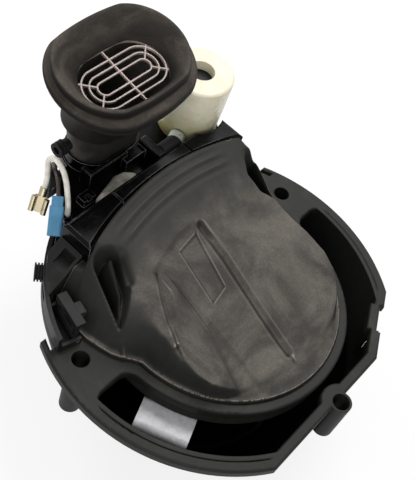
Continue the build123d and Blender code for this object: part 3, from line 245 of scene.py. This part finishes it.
class Nodes:
    """A material's node tree with short calls to add and join nodes."""

    def __init__(self, name):
        self.material = bpy.data.materials.new(name)
        self.material.use_nodes = True
        self.tree = self.material.node_tree
        self.tree.nodes.clear()
        self.out = self.add("ShaderNodeOutputMaterial")
        self.shader = self.add("ShaderNodeBsdfPrincipled")
        self.join(self.shader.outputs["BSDF"], self.out.inputs["Surface"])
        self.place = self.add("ShaderNodeTexCoord").outputs["Object"]
        self.inputs = self.shader.inputs

    def add(self, kind, **values):
        node = self.tree.nodes.new(kind)
        for key, value in values.items():
            setattr(node, key, value)
        return node

    def join(self, source, target):
        """Link a socket to the target, or give the target a plain value."""
        if isinstance(source, bpy.types.NodeSocket):
            self.tree.links.new(source, target)
        else:
            target.default_value = source

    def axis(self, vector, name):
        split = self.add("ShaderNodeSeparateXYZ")
        self.join(vector, split.inputs[0])
        return split.outputs[name]

    def noise(self, scale, detail=3.0, rough=0.55, stretch=(1, 1, 1), warp=0.0):
        """Noise over the object's own coordinates: scale is features per metre."""
        mapping = self.add("ShaderNodeMapping")
        self.join(stretch, mapping.inputs["Scale"])
        self.join(self.place, mapping.inputs["Vector"])
        node = self.add("ShaderNodeTexNoise")
        for name, value in (("Vector", mapping.outputs["Vector"]), ("Scale", scale), ("Detail", detail),
                            ("Roughness", rough), ("Distortion", warp)):
            self.join(value, node.inputs[name])
        return node.outputs["Fac"]

    def ramp(self, source, low, high, start=0.0, end=1.0):
        """Source mapped from low..high to start..end, smoothly."""
        node = self.add("ShaderNodeMapRange", interpolation_type="SMOOTHSTEP")
        for name, value in (("Value", source), ("From Min", low), ("From Max", high), ("To Min", start),
                            ("To Max", end)):
            self.join(value, node.inputs[name])
        return node.outputs["Result"]

    def math(self, operation, first, second):
        node = self.add("ShaderNodeMath", operation=operation)
        self.join(first, node.inputs[0])
        self.join(second, node.inputs[1])
        return node.outputs[0]

    def mix(self, share, first, second):
        """Colour mix: first where share is 0, second where it is 1."""
        node = self.add("ShaderNodeMix", data_type="RGBA")
        colours = [socket for socket in node.inputs if socket.type == "RGBA"]
        self.join(first, colours[0])
        self.join(second, colours[1])
        self.join(share, node.inputs[0])
        return [socket for socket in node.outputs if socket.type == "RGBA"][0]

    def edges(self, radius):
        """Rounded normal, and a mask that is 1 on convex and concave edges."""
        bevel = self.add("ShaderNodeBevel", samples=6)
        self.join(radius * MM, bevel.inputs["Radius"])
        geometry = self.add("ShaderNodeNewGeometry")
        dot = self.add("ShaderNodeVectorMath", operation="DOT_PRODUCT")
        self.join(bevel.outputs["Normal"], dot.inputs[0])
        self.join(geometry.outputs["Normal"], dot.inputs[1])
        return bevel.outputs["Normal"], self.ramp(dot.outputs["Value"], 0.995, 0.80)

    def painted_inner_shade(self, top):
        """Share that is 1 deep inside the bowl, where shade is painted in: the unlit inside is coloured near
        black.
        """
        flat = self.add("ShaderNodeCombineXYZ")
        self.join(self.axis(self.place, "X"), flat.inputs["X"])
        self.join(self.axis(self.place, "Y"), flat.inputs["Y"])
        length = self.add("ShaderNodeVectorMath", operation="LENGTH")
        self.join(flat.outputs[0], length.inputs[0])
        within = self.ramp(length.outputs["Value"], INNER_R * MM, (INNER_R + 1.5) * MM, 1.0, 0.0)
        low = self.ramp(self.axis(self.place, "Z"), top - 0.012, top, 1.0, 0.0)
        return self.math("MULTIPLY", within, low)

    def bump(self, height, depth, normal=None):
        node = self.add("ShaderNodeBump")
        self.join(1.0, node.inputs["Strength"])
        self.join(depth * MM, node.inputs["Distance"])
        self.join(height, node.inputs["Height"])
        if normal is not None:
            self.join(normal, node.inputs["Normal"])
        return node.outputs["Normal"]


def plastic(name, colour, dusty, rough=0.55, dust=(0.48, 0.72), dust_scale=28.0, grain=0.02, round_mm=0.5,
            edge=0.35, specular=0.15, streak=(1, 1, 1), settled=0.0, low_up=0.74, reads_painted_shading=False,
            painted_shade_below=None, darker_from=None):
    """Moulded plastic or rubber: mottled colour, dust in patches, fine grain and edges worn paler.

    settled is the least dust on faces that look up more than low_up, reads_painted_shading reads the mesh's
    painted light and shade, painted_shade_below is the height under which the bowl's inside is painted near
    black as shade, and darker_from is where the colour turns darker towards the rear.
    """
    n = Nodes(name)
    patches = n.ramp(n.noise(dust_scale, 5.0, 0.62, streak, 0.6), dust[0], dust[1])
    if settled > 0:
        up = n.axis(n.add("ShaderNodeNewGeometry").outputs["Normal"], "Z")
        patches = n.math("ADD", n.math("MULTIPLY", patches, 1 - settled), settled)
        patches = n.math("MULTIPLY", patches, n.ramp(up, low_up, 0.94, 0.04, 1.0))
    # Fewer pale patches towards the rear, so that the colour turns darker there.
    if darker_from is not None:
        fade = 0.024
        rear = n.math("ADD", n.axis(n.place, "Y"), n.math("MULTIPLY", n.noise(REAR_DARK_EDGE, 4.0), fade))
        patches = n.math("MULTIPLY", patches, n.ramp(rear, darker_from, darker_from + fade, 1.0, 0.1))
    share = n.math("MULTIPLY", patches, n.ramp(n.noise(SPECKLE, 2.0), 0.35, 0.75, 0.7, 1.0))
    fine = n.ramp(n.noise(MOTTLE, 4.0), 0.3, 0.7)
    body = n.mix(share, n.mix(fine, shade(colour, 0.78), colour), dusty)
    normal, mask = n.edges(round_mm)
    wear_and_highlight = n.math("MULTIPLY", mask, n.ramp(n.noise(RUB, 3.0), 0.3, 0.65, 0.25 * edge, edge))
    # Painted light and shade read off the mesh: hollows and pockets darker as painted shade, ridges and the
    # lip paler as painted highlights in a brighter colour.
    if reads_painted_shading:
        painted_shading = n.add("ShaderNodeAttribute", attribute_name="painted_shading").outputs["Fac"]
        body = n.mix(n.ramp(painted_shading, 0.47, 0.12, 0.0, 0.85), body, shade(colour, 0.45))
        wear_and_highlight = n.math("MAXIMUM", wear_and_highlight, n.ramp(painted_shading, 0.54, 0.9, 0.0, 0.8))
        dusty = shade(dusty, 1.9)
    body = n.mix(wear_and_highlight, body, dusty)
    # Painted shade: deep inside the bowl the colour is made near black.
    if painted_shade_below is not None:
        body = n.mix(n.painted_inner_shade(painted_shade_below), body, srgb(2, 2, 2))
    n.join(body, n.inputs["Base Color"])
    n.join(n.ramp(share, 0.0, 1.0, rough, min(0.95, rough + 0.25)), n.inputs["Roughness"])
    n.join(n.bump(n.noise(GRAIN, 2.0), grain, normal), n.inputs["Normal"])
    n.join(specular, n.inputs["Specular IOR Level"])
    return n.material


def gloss(name, colour, rough=0.22, specular=0.25, scuff=0.12, round_mm=0.5, edge=0.5):
    """Polished moulding with faint scuffs, dust in patches and rounded edges painted bright as highlights."""
    n = Nodes(name)
    scuffs = n.ramp(n.noise(60.0, 6.0, 0.7, (1, 6, 1), 1.2), 0.55, 0.8, 0.0, scuff)
    normal, mask = n.edges(round_mm)
    # Painted highlight: the rounded edges are made paler in patches.
    wear_and_highlight = n.math("MULTIPLY", mask, n.ramp(n.noise(50.0), 0.38, 0.6, 0.05, edge))
    share = n.math("MAXIMUM", scuffs, wear_and_highlight)
    n.join(n.mix(share, colour, shade(colour, 1.0, lift=0.28)), n.inputs["Base Color"])
    n.join(n.ramp(n.noise(45.0, 5.0, 0.7), 0.35, 0.75, rough, rough + 0.2), n.inputs["Roughness"])
    n.join(n.bump(n.noise(1500.0), 0.004, normal), n.inputs["Normal"])
    n.join(specular, n.inputs["Specular IOR Level"])
    return n.material


def metal(name, colour, rough=0.32, scratch=(1, 1, 14), tarnish=(0.25, 0.2, 0.15, 1.0), amount=0.25):
    """Bare metal with drawn scratches and a little tarnish."""
    n = Nodes(name)
    dull = n.ramp(n.noise(120.0, 5.0, 0.65), 0.5, 0.75, 0.0, amount)
    n.join(n.mix(dull, colour, tarnish), n.inputs["Base Color"])
    lines = n.noise(420.0, 4.0, 0.6, scratch)
    n.join(n.ramp(lines, 0.3, 0.7, rough * 0.7, rough * 1.4), n.inputs["Roughness"])
    normal, _ = n.edges(0.25)
    n.join(n.bump(lines, 0.006, normal), n.inputs["Normal"])
    n.join(1.0, n.inputs["Metallic"])
    return n.material


def clear(name, colour, rough=0.25, through=0.5, scatter=0.0, low_colour=None, low_z=0.0, high_z=1.0):
    """Translucent moulding: light gets in, and colour may turn towards the foot."""
    n = Nodes(name)
    body = n.mix(n.ramp(n.noise(60.0, 4.0), 0.3, 0.7), shade(colour, 0.86), colour)
    if low_colour is not None:
        wave = n.math("ADD", n.axis(n.place, "Z"), n.math("MULTIPLY", n.noise(40.0), 0.012))
        body = n.mix(n.ramp(wave, low_z, high_z), low_colour, body)
    normal, mask = n.edges(0.6)
    # Painted highlight: the edges are made brighter.
    bright = shade(colour, 1.15, lift=0.05)
    n.join(n.mix(n.math("MULTIPLY", mask, 0.4), body, bright), n.inputs["Base Color"])
    n.join(n.ramp(n.noise(150.0), 0.3, 0.7, rough, rough + 0.15), n.inputs["Roughness"])
    n.join(n.bump(n.noise(700.0), 0.01, normal), n.inputs["Normal"])
    n.join(through, n.inputs["Transmission Weight"])
    n.join(IOR, n.inputs["IOR"])
    if scatter > 0:
        n.join(scatter, n.inputs["Subsurface Weight"])
        n.join(0.004, n.inputs["Subsurface Scale"])
    return n.material


def paint_nodes():
    """A material for each CAD node that stays, by node name."""
    bowl = plastic("bowl plastic", srgb(28, 29, 27), srgb(64, 63, 59), rough=0.5, dust=(0.46, 0.78),
                   edge=0.35, round_mm=0.9, settled=0.1, painted_shade_below=0.081)
    inner = plastic("bucket plastic", srgb(38, 38, 35), srgb(66, 65, 60), rough=0.55, dust=(0.5, 0.85),
                    edge=0.3, settled=0.1, painted_shade_below=0.066)
    housing = plastic("housing plastic", srgb(26, 27, 26), srgb(70, 69, 66), rough=0.45, dust=(0.55, 0.85),
                      edge=0.5)
    black = gloss("black gloss", srgb(4, 4, 5), rough=0.16, specular=0.1, scuff=0.03, round_mm=0.7, edge=0.95)
    lid = gloss("black lid", srgb(3, 3, 4), rough=0.2, specular=0.1, scuff=0.02, round_mm=0.6, edge=0.95)
    strip = plastic("pale strip", srgb(118, 115, 108), srgb(188, 182, 172), rough=0.4, dust=(0.4, 0.7),
                    dust_scale=60.0)
    neck = plastic("neck plastic", srgb(42, 41, 38), srgb(82, 79, 74), rough=0.5, dust=(0.45, 0.7), edge=0.4)
    rubber = plastic("black rubber", srgb(20, 20, 20), srgb(60, 59, 57), rough=0.6, dust=(0.55, 0.8),
                     edge=0.3)
    grille = plastic("grille plastic", srgb(150, 134, 126), srgb(192, 178, 170), rough=0.4, dust=(0.4, 0.8),
                     edge=0.2, specular=0.5, round_mm=0.3)
    cream = clear("cream plastic", srgb(228, 224, 200), rough=0.22, through=0.0, scatter=0.3,
                  low_colour=srgb(150, 140, 66), low_z=0.108, high_z=0.148)
    spout = clear("clear plastic", srgb(214, 220, 208), rough=0.2, through=0.45)
    white = plastic("white block", srgb(214, 214, 218), srgb(176, 168, 152), rough=0.35, dust=(0.55, 0.85),
                    edge=0.2, specular=0.5)
    tin = metal("tinned brass", srgb(176, 166, 140), rough=0.3, tarnish=srgb(84, 72, 48), amount=0.8)
    blue = clear("blue sleeve", srgb(92, 160, 200), rough=0.1, through=0.4)
    steel = metal("ground steel", srgb(190, 190, 194))
    sheet = metal("laminations", srgb(110, 112, 116), rough=0.5, scratch=(1, 1, 40))
    copper = metal("copper", srgb(196, 118, 78), rough=0.35, amount=0.4)
    cast = metal("cast aluminium", srgb(176, 178, 182), rough=0.5, scratch=(1, 1, 1))
    carbon = plastic("carbon", srgb(30, 30, 32), srgb(60, 60, 62), rough=0.6)
    brass = metal("brass", srgb(204, 172, 104), rough=0.35, amount=0.4)
    piston = gloss("piston", srgb(12, 12, 12), rough=0.4)
    paints = {
        bowl: "outer_bowl",
        inner: "motor_bucket diffuser",
        housing: "rear_housing side_latch cable_bracket",
        black: "duct_rail duct_base",
        lid: "duct_lid",
        strip: "rail_strip",
        neck: "inlet_neck",
        rubber: "cover_gasket valve_hose cable_grommet vent_stub lower_mount upper_mount",
        grille: "inlet_grille",
        cream: "valve_body valve_seat",
        spout: "valve_spout",
        white: "capacitor",
        tin: "flag_terminal",
        blue: "blue_connector",
        steel: "latch_pin valve_spring lower_bearing upper_bearing motor_shaft impeller_nut fan_shroud"
               " brush_spring_left brush_spring_right",
        sheet: "armature_core stator_core",
        copper: "commutator armature_winding field_coil_left field_coil_right",
        cast: "lower_frame upper_frame impeller",
        carbon: "brush_left brush_right",
        brass: "brush_holder_left brush_holder_right",
        piston: "valve_piston",
    }
    for material, names in paints.items():
        for name in names.split():
            for slot in nodes[name].material_slots:
                slot.material = material


# Meshes


def placed(name, data):
    """Object with this data, in the scene."""
    item = bpy.data.objects.new(name, data)
    bpy.context.scene.collection.objects.link(item)
    return item


def mesh_piece(name, points, faces, material, sharp_angle=40.0):
    """Object from points in millimetres and faces, smooth but for its sharp edges."""
    mesh = bpy.data.meshes.new(name)
    mesh.from_pydata([tuple(c * MM for c in p) for p in points], [], faces)
    work = bmesh.new()
    work.from_mesh(mesh)
    bmesh.ops.recalc_face_normals(work, faces=work.faces)
    for edge in work.edges:
        edge.smooth = len(edge.link_faces) == 2 and edge.calc_face_angle(0) < math.radians(sharp_angle)
    for face in work.faces:
        face.smooth = True
    work.to_mesh(mesh)
    work.free()
    mesh.materials.append(material)
    return placed(name, mesh)


def smooth_max(a, b, width):
    """Higher of two surfaces, rounded where they meet."""
    share = np.clip(0.5 + 0.5 * (a - b) / width, 0, 1)
    return b + (a - b) * share + width * share * (1 - share)


def swell(distance, width):
    """1 on a line, falling off smoothly to each side."""
    return np.exp(-(distance / width) ** 2)


def step(value, low, high):
    """0 below low, 1 above high, smooth between."""
    share = np.clip((value - low) / (high - low), 0, 1)
    return share * share * (3 - 2 * share)


def near_line(x, y, line):
    """Distance to an open line."""
    nearest = np.full(x.shape, np.inf)
    for (x0, y0), (x1, y1) in zip(line, line[1:]):
        dx, dy = x1 - x0, y1 - y0
        share = np.clip(((x - x0) * dx + (y - y0) * dy) / (dx * dx + dy * dy), 0, 1)
        nearest = np.minimum(nearest, np.hypot(x - x0 - share * dx, y - y0 - share * dy))
    return nearest


def inside(x, y, outline):
    """Distance to a closed outline: above 0 inside it, below 0 outside."""
    closed = outline + outline[:1]
    crossings = np.zeros(x.shape, bool)
    for (x0, y0), (x1, y1) in zip(closed, closed[1:]):
        if y0 != y1:
            crossings ^= ((y0 > y) != (y1 > y)) & (x < (y - y0) / (y1 - y0) * (x1 - x0) + x0)
    nearest = near_line(x, y, closed)
    return np.where(crossings, nearest, -nearest)


def motor_arc(radius, start, end, count):
    """Points of an arc round the motor's axis, its angles in degrees."""
    turns = [math.radians(start + (end - start) * index / count) for index in range(count + 1)]
    return [(MOTOR_X + radius * math.cos(turn), MOTOR_Y + radius * math.sin(turn)) for turn in turns]


def rear_arc(x):
    """Place of the curved rear edge across the cover."""
    return REAR_CENTRE[1] + np.sqrt(REAR_R ** 2 - (x - REAR_CENTRE[0]) ** 2)


def cover_outline(rear):
    """Outline of the lip: round in front, with a shoulder out to each side, closed at the rear."""
    return motor_arc(LIP_R, 180, 360, LIP_POINTS) + LIP_RIGHT + rear + LIP_LEFT


def cover_height(x, y):
    """Height of the cover's skin above each place of its plan, in millimetres."""
    top = TOP_Z - (HOOD_REAR - y) * SLOPE
    lip = np.clip(inside(x, y, cover_outline([(LIP_RIGHT_X, REAR_Y), (LIP_LEFT_X, REAR_Y)])) - LIP_W, 0, None)
    beyond = -inside(x, y, TOP_EDGE)
    out = np.clip(beyond, 0, None)
    fall = out / (out + lip + TINY)
    left = step(-x, *FLANK_X) * step(y, *FLANK_Y)
    drop = (1 - fall) ** FRONT_BELLY * (1 - left) + (1 - fall ** FLANK_BELLY) * left
    flank = LIP_Z + (top + panel_relief(x, y) * (1 - step(beyond, *RELIEF_FADE)) - LIP_Z) * drop
    flank -= EDGE_SINK * swell(beyond, EDGE_W) * (1 - left)
    shoulder = inside(x, y, SHOULDER)
    crest = np.interp(y, CREST_Y, CREST_Z)
    out = np.clip(shoulder, 0, None)
    apron = LIP_Z + (crest - LIP_Z) * (1 - out / (out + lip + TINY)) ** APRON_BELLY
    apron -= APRON_PITCH * np.clip(-shoulder, 0, None)
    apron -= FOLD_SINK * swell(near_line(x, y, FOLD), FOLD_W)
    height = smooth_max(flank, apron, BLEND_W)
    height -= FIN_VALLEY_SINK * swell(near_line(x, y, FIN_VALLEY), FIN_VALLEY_W)
    for pocket, floor in POCKETS:
        walls = floor + WALL_PITCH * np.clip(POCKET_ROUND - inside(x, y, pocket), 0, None)
        height = np.minimum(height, np.maximum(walls, LIP_Z))
    fin_top = np.interp(y, FIN_Y, FIN_Z)
    height = np.maximum(height, fin_top - WALL_PITCH * np.clip(near_line(x, y, FIN) - FIN_HALF, 0, None))
    back = rear_arc(x) - y
    height -= REAR_ROUND * (1 - np.sqrt(np.clip(1 - np.clip(1 - back / REAR_ROUND, 0, 1) ** 2, 0, 1)))
    return np.where(back < -BACK_REACH, np.minimum(height, DUCT_Z), height)


def panel_relief(x, y):
    """Sunken panel with its crease, valley, recess and groove, and the ridges that follow the rear edge."""
    panel = inside(x, y, PANEL)
    chevron = step(y, *CHEVRON_Y)
    relief = -PANEL_SINK * (step(panel, *CHEVRON_FADE) * chevron + step(panel, *PANEL_FADE) * (1 - chevron))
    relief -= CREASE_SINK * swell(near_line(x, y, CREASE), CREASE_W)
    relief += LEAF_RISE * step(inside(x, y, LEAF), *LEAF_FADE)
    relief -= VALLEY_SINK * step(inside(x, y, VALLEY), *VALLEY_FADE)
    relief -= RECESS_SINK * step(inside(x, y, RECESS), *RECESS_FADE)
    groove = near_line(x, y, GROOVE)
    relief -= GROOVE_SINK * (1 - step(groove, *GROOVE_FADE))
    relief += GROOVE_BEAD * swell(groove - GROOVE_BEAD_PLACE, GROOVE_BEAD_W)
    relief += RIGHT_RIDGE_RISE * swell(near_line(x, y, RIGHT_RIDGE), RIGHT_RIDGE_W)
    back = rear_arc(x) - y
    along = step(x, *RIDGES_LEFT) * (1 - step(x, *RIDGES_RIGHT))
    for place, rise, width in REAR_RIDGES:
        relief += rise * along * swell(back - place, width)
    return relief


def shell_outline():
    """The shell's outline: straight behind the shoulders and curved between them."""
    arc = [(float(x), float(rear_arc(x))) for x in np.linspace(ARC_HALF, -ARC_HALF, ARC_POINTS)]
    corner = ARC_HALF + CORNER_OUT
    outline = cover_outline([(LIP_RIGHT_X, WALL_Y), (corner, WALL_Y)] + arc
                            + [(-corner, WALL_Y), (LIP_LEFT_X, WALL_Y)])
    return [(x, max(y, WALL_Y) if abs(x) <= ARC_HALF and y > REAR_FROM else y) for x, y in outline]


def shell_painted_shading(x, y, at_edge):
    """Painted light and shade of the shell: 0.5 where it is flat, more on ridges and edges as painted
    highlights, less in hollows as painted shade.
    """
    sides = ((BEND_REACH, 0), (-BEND_REACH, 0), (0, BEND_REACH), (0, -BEND_REACH))
    bend = sum(panel_relief(x + sx, y + sy) for sx, sy in sides) / len(sides)
    on_top = step(inside(x, y, TOP_EDGE), *TOP_FADE)
    painted_shading = np.clip(0.5 - (bend - panel_relief(x, y)) * BEND_GAIN * on_top, 0.1, 0.9)
    for pocket, _ in POCKETS:
        painted_shading = np.where(inside(x, y, pocket) > -POCKET_REACH, POCKET_SHADE, painted_shading)
    painted_shading = np.where(near_line(x, y, FIN_VALLEY) < FIN_REACH, FIN_VALLEY_SHADE, painted_shading)
    return np.where(at_edge, EDGE_HIGHLIGHT, painted_shading)


def cover_shell(material):
    """Skin of the cover over a fine grid, drawn onto the outline, with a wall down to the flange."""
    outline = shell_outline()
    x, y = np.meshgrid(np.arange(*GRID_X, GRID), np.arange(*GRID_Y, GRID))
    depth = inside(x, y, outline)
    dx = (inside(x + PROBE, y, outline) - inside(x - PROBE, y, outline)) / (2 * PROBE)
    dy = (inside(x, y + PROBE, outline) - inside(x, y - PROBE, outline)) / (2 * PROBE)
    keep = depth > -EDGE_REACH
    near = (depth < GRID / 2) & keep
    x = np.where(near, x - dx * depth, x)
    y = np.where(near, y - dy * depth, y)
    shifts = [(sx, sy) for sx in (-SOFTEN, 0, SOFTEN) for sy in (-SOFTEN, 0, SOFTEN)]
    z = sum(cover_height(x + sx, y + sy) for sx, sy in shifts) / len(shifts)
    index = -np.ones(x.shape, int)
    index[keep] = np.arange(keep.sum())
    points = np.stack([x[keep], y[keep], z[keep]], axis=1).tolist()
    painted_shadings = shell_painted_shading(x, y, near)[keep].tolist()
    corners = np.stack([index[:-1, :-1], index[:-1, 1:], index[1:, 1:], index[1:, :-1]], axis=-1)
    corners = corners.reshape(-1, 4)
    solid = (depth[:-1, :-1] + depth[:-1, 1:] + depth[1:, 1:] + depth[1:, :-1]).ravel() > 0
    faces = corners[(corners >= 0).all(axis=1) & solid].tolist()
    uses = {}
    for face in faces:
        for pair in zip(face, face[1:] + face[:1]):
            key = (min(pair), max(pair))
            uses[key] = uses.get(key, 0) + 1
    below = {}
    for pair in (pair for pair, count in uses.items() if count == 1):
        for top in pair:
            if top not in below:
                below[top] = len(points)
                px, py, pz = points[top]
                points.append([px, py, min(pz, DUCT_Z if py > WALL_Y + PROBE else FLANGE_Z)])
                painted_shadings.append(PLAIN_SHADING)
        faces.append([pair[0], pair[1], below[pair[1]], below[pair[0]]])
    rear = len(points)
    points += [[-ARC_HALF, WALL_Y, FLANGE_Z], [ARC_HALF, WALL_Y, FLANGE_Z],
               [ARC_HALF, WALL_Y, DUCT_Z], [-ARC_HALF, WALL_Y, DUCT_Z]]
    painted_shadings += [PLAIN_SHADING] * 4
    faces.append([rear, rear + 1, rear + 2, rear + 3])
    piece = mesh_piece("cover_shell", points, faces, material)
    # The painted light and shade goes onto the points for the material.
    layer = piece.data.attributes.new("painted_shading", "FLOAT", "POINT")
    layer.data.foreach_set("value", painted_shadings)
    return piece


def cover_catch(material):
    """Catch that the latch hooks over: a block on the cover's left wall with a sloped top."""
    turn = math.radians(LATCH_TURN)
    points = []
    for side in (-CATCH_HALF, CATCH_HALF):
        for out, z in CATCH_PROFILE:
            points.append((LATCH_PLACE[0] + out * math.cos(turn) - side * math.sin(turn),
                           LATCH_PLACE[1] + out * math.sin(turn) + side * math.cos(turn), z))
    count = len(CATCH_PROFILE)
    faces = [list(range(count)), list(range(2 * count - 1, count - 1, -1))]
    faces += [[i, (i + 1) % count, count + (i + 1) % count, count + i] for i in range(count)]
    piece = mesh_piece("cover_catch", points, faces, material)
    bevel = piece.modifiers.new("bevel", "BEVEL")
    bevel.width = CATCH_BEVEL * MM
    bevel.segments = 3
    return piece


def racetrack_ring(length, width, z, shift):
    """Ring of points round a racetrack that leans and drifts from the cuff's place to the mouth's."""
    radius = width / 2
    straight = (length - width) / 2
    share = min(1.0, max(0.0, (z - CUFF_Z) / (MOUTH_Z - CUFF_Z)))
    place = [a + (b - a) * share for a, b in zip(NECK_PLACE, MOUTH_PLACE)]
    tilt = MOUTH_TILT * share
    ring = []
    for index in range(RING_POINTS):
        turn = 2 * math.pi * index / RING_POINTS
        side = 1 if math.cos(turn) >= 0 else -1
        x = side * straight * min(1.0, abs(math.cos(turn)) * 3) + radius * math.cos(turn)
        y = shift + radius * math.sin(turn)
        ring.append((place[0] + x, place[1] + y * math.cos(tilt), z + y * math.sin(tilt)))
    return ring


def seal_skin(material):
    """Rubber seal: funnel, rolled lip, ridges under it and the cuff on the neck."""
    stations = list(LIP_STATIONS)
    for ridge in range(RIDGE_COUNT):
        length, width, z = (start + ridge * change for start, change in zip(RIDGE_START, RIDGE_STEP))
        stations += [(length + out, width + out, z + rise, 0) for out, rise in RIDGE_PROFILE]
    rings = [racetrack_ring(*station) for station in stations + CUFF_STATIONS]
    points = [p for ring in rings for p in ring]
    faces = []
    for level in range(len(rings) - 1):
        low, high = level * RING_POINTS, (level + 1) * RING_POINTS
        for index in range(RING_POINTS):
            after = (index + 1) % RING_POINTS
            faces.append((low + index, low + after, high + after, high + index))
    piece = mesh_piece("seal_skin", points, faces, material, sharp_angle=180.0)
    smooth = piece.modifiers.new("smooth", "SUBSURF")
    smooth.levels = smooth.render_levels = 2
    return piece


def lead(name, route, radius, material):
    """Lead as a smooth line through its route's control points."""
    curve = bpy.data.curves.new(name, "CURVE")
    curve.dimensions = "3D"
    spline = curve.splines.new("NURBS")
    spline.points.add(len(route) - 1)
    for point, place in zip(spline.points, route):
        point.co = (*(c * MM for c in place), 1.0)
    spline.order_u = 3
    spline.use_endpoint_u = True
    spline.resolution_u = 12
    curve.bevel_depth = radius * MM
    curve.bevel_resolution = 6
    curve.use_fill_caps = True
    curve.materials.append(material)
    return placed(name, curve)


def shorten_springs():
    """Each spring gets a mesh of its own, and its staying end is found; nothing shortens the spring here."""
    for name, (joint, number, travel, stays) in SPRINGS.items():
        spring = nodes[name]
        ends = [(spring.matrix_world @ vertex.co)[number] for vertex in spring.data.vertices]
        stays(ends)
        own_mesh(spring)


# Stage


def make_camera():
    data = bpy.data.cameras.new("camera")
    data.lens = CAMERA_LENS
    data.sensor_width = CAMERA_SENSOR
    data.sensor_fit = "AUTO"
    data.clip_start = 0.01
    camera = placed("camera", data)
    back = CAMERA_RIGHT.cross(CAMERA_UP)
    turn = Matrix((CAMERA_RIGHT, CAMERA_UP, back)).transposed().to_4x4()
    camera.matrix_world = Matrix.Translation(CAMERA_PLACE) @ turn
    bpy.context.scene.camera = camera


def seen_directly(tree):
    """Share that is 1 for camera, glossy and transmission rays."""
    path = tree.nodes.new("ShaderNodeLightPath")
    share = path.outputs["Is Camera Ray"]
    for ray in ("Is Glossy Ray", "Is Transmission Ray"):
        either = tree.nodes.new("ShaderNodeMath")
        either.operation = "MAXIMUM"
        tree.links.new(share, either.inputs[0])
        tree.links.new(path.outputs[ray], either.inputs[1])
        share = either.outputs[0]
    return share


def make_world():
    world = bpy.data.worlds.new("studio")
    bpy.context.scene.world = world
    world.use_nodes = True
    tree = world.node_tree
    background = tree.nodes["Background"]
    background.inputs["Color"].default_value = WHITE
    strength = tree.nodes.new("ShaderNodeMapRange")
    strength.inputs["To Min"].default_value = WORLD_LIGHT
    strength.inputs["To Max"].default_value = 1.0
    tree.links.new(seen_directly(tree), strength.inputs["Value"])
    tree.links.new(strength.outputs["Result"], background.inputs["Strength"])


def make_floor():
    n = Nodes("floor")
    grain = n.ramp(n.noise(30.0), 0.3, 0.7)
    n.join(n.mix(grain, srgb(236, 236, 236), srgb(240, 240, 240)), n.inputs["Base Color"])
    n.join(0.9, n.inputs["Roughness"])
    n.join(0.0, n.inputs["Specular IOR Level"])
    glow = n.add("ShaderNodeEmission")
    n.join(WHITE, glow.inputs["Color"])
    blend = n.add("ShaderNodeMixShader")
    n.join(n.math("MULTIPLY", seen_directly(n.tree), FLOOR_GLOW), blend.inputs[0])
    n.join(n.shader.outputs["BSDF"], blend.inputs[1])
    n.join(glow.outputs[0], blend.inputs[2])
    n.join(blend.outputs[0], n.out.inputs["Surface"])
    half = FLOOR_HALF
    corners = [(-half, -half, 0), (half, -half, 0), (half, half, 0), (-half, half, 0)]
    mesh = bpy.data.meshes.new("floor")
    mesh.from_pydata(corners, [], [(0, 1, 2, 3)])
    mesh.materials.append(n.material)
    floor = placed("floor", mesh)
    floor.location.z = -FLOOR_DROP


def area_light(name, place, size, power):
    data = bpy.data.lights.new(name, "AREA")
    data.shape = "DISK"
    data.size = size
    data.energy = power
    lamp = placed(name, data)
    lamp.location = place
    lamp.rotation_mode = "QUATERNION"
    lamp.rotation_quaternion = (Vector(LIGHT_TARGET) - Vector(place)).to_track_quat("-Z", "Y")


make_camera()
make_world()
make_floor()
for light in LIGHTS:
    area_light(*light)

paint_nodes()
shorten_springs()

cover_paint = plastic("cover plastic", srgb(32, 32, 30), srgb(108, 103, 96), rough=0.5, dust=(0.34, 0.72),
                      dust_scale=24.0, grain=0.02, edge=0.15, settled=0.2, low_up=0.5, reads_painted_shading=True,
                      darker_from=0.036)
cover = cover_shell(cover_paint)
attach(cover, "housing")
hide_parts("motor_cover")
catch_paint = plastic("catch plastic", srgb(44, 44, 41), srgb(92, 88, 82))
catch = cover_catch(catch_paint)
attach(catch, "housing")

seal_paint = plastic("seal rubber", srgb(20, 18, 16), srgb(84, 77, 70), rough=0.6, dust=(0.36, 0.72),
                     dust_scale=48.0, streak=(1, 1, 3), grain=0.03, edge=0.3, specular=0.12, settled=0.3,
                     low_up=0.35)
seal = seal_skin(seal_paint)
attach(seal, "housing")
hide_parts("inlet_seal")

white_paint = plastic("white insulation", srgb(236, 232, 222), srgb(206, 198, 180), rough=0.4,
                      dust=(0.55, 0.85), specular=0.5, edge=0.0)
white_lead = lead("white_flex", WHITE_ROUTE, WHITE_R, white_paint)
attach(white_lead, "housing")
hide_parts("white_lead")

brown_paint = plastic("brown insulation", srgb(44, 30, 24), srgb(90, 70, 56), rough=0.4, specular=0.5,
                      edge=0.0)
brown_lead = lead("brown_flex", BROWN_ROUTE, BROWN_R, brown_paint)
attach(brown_lead, "housing")
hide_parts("brown_lead")

bpy.context.scene.view_settings.view_transform = "Standard"
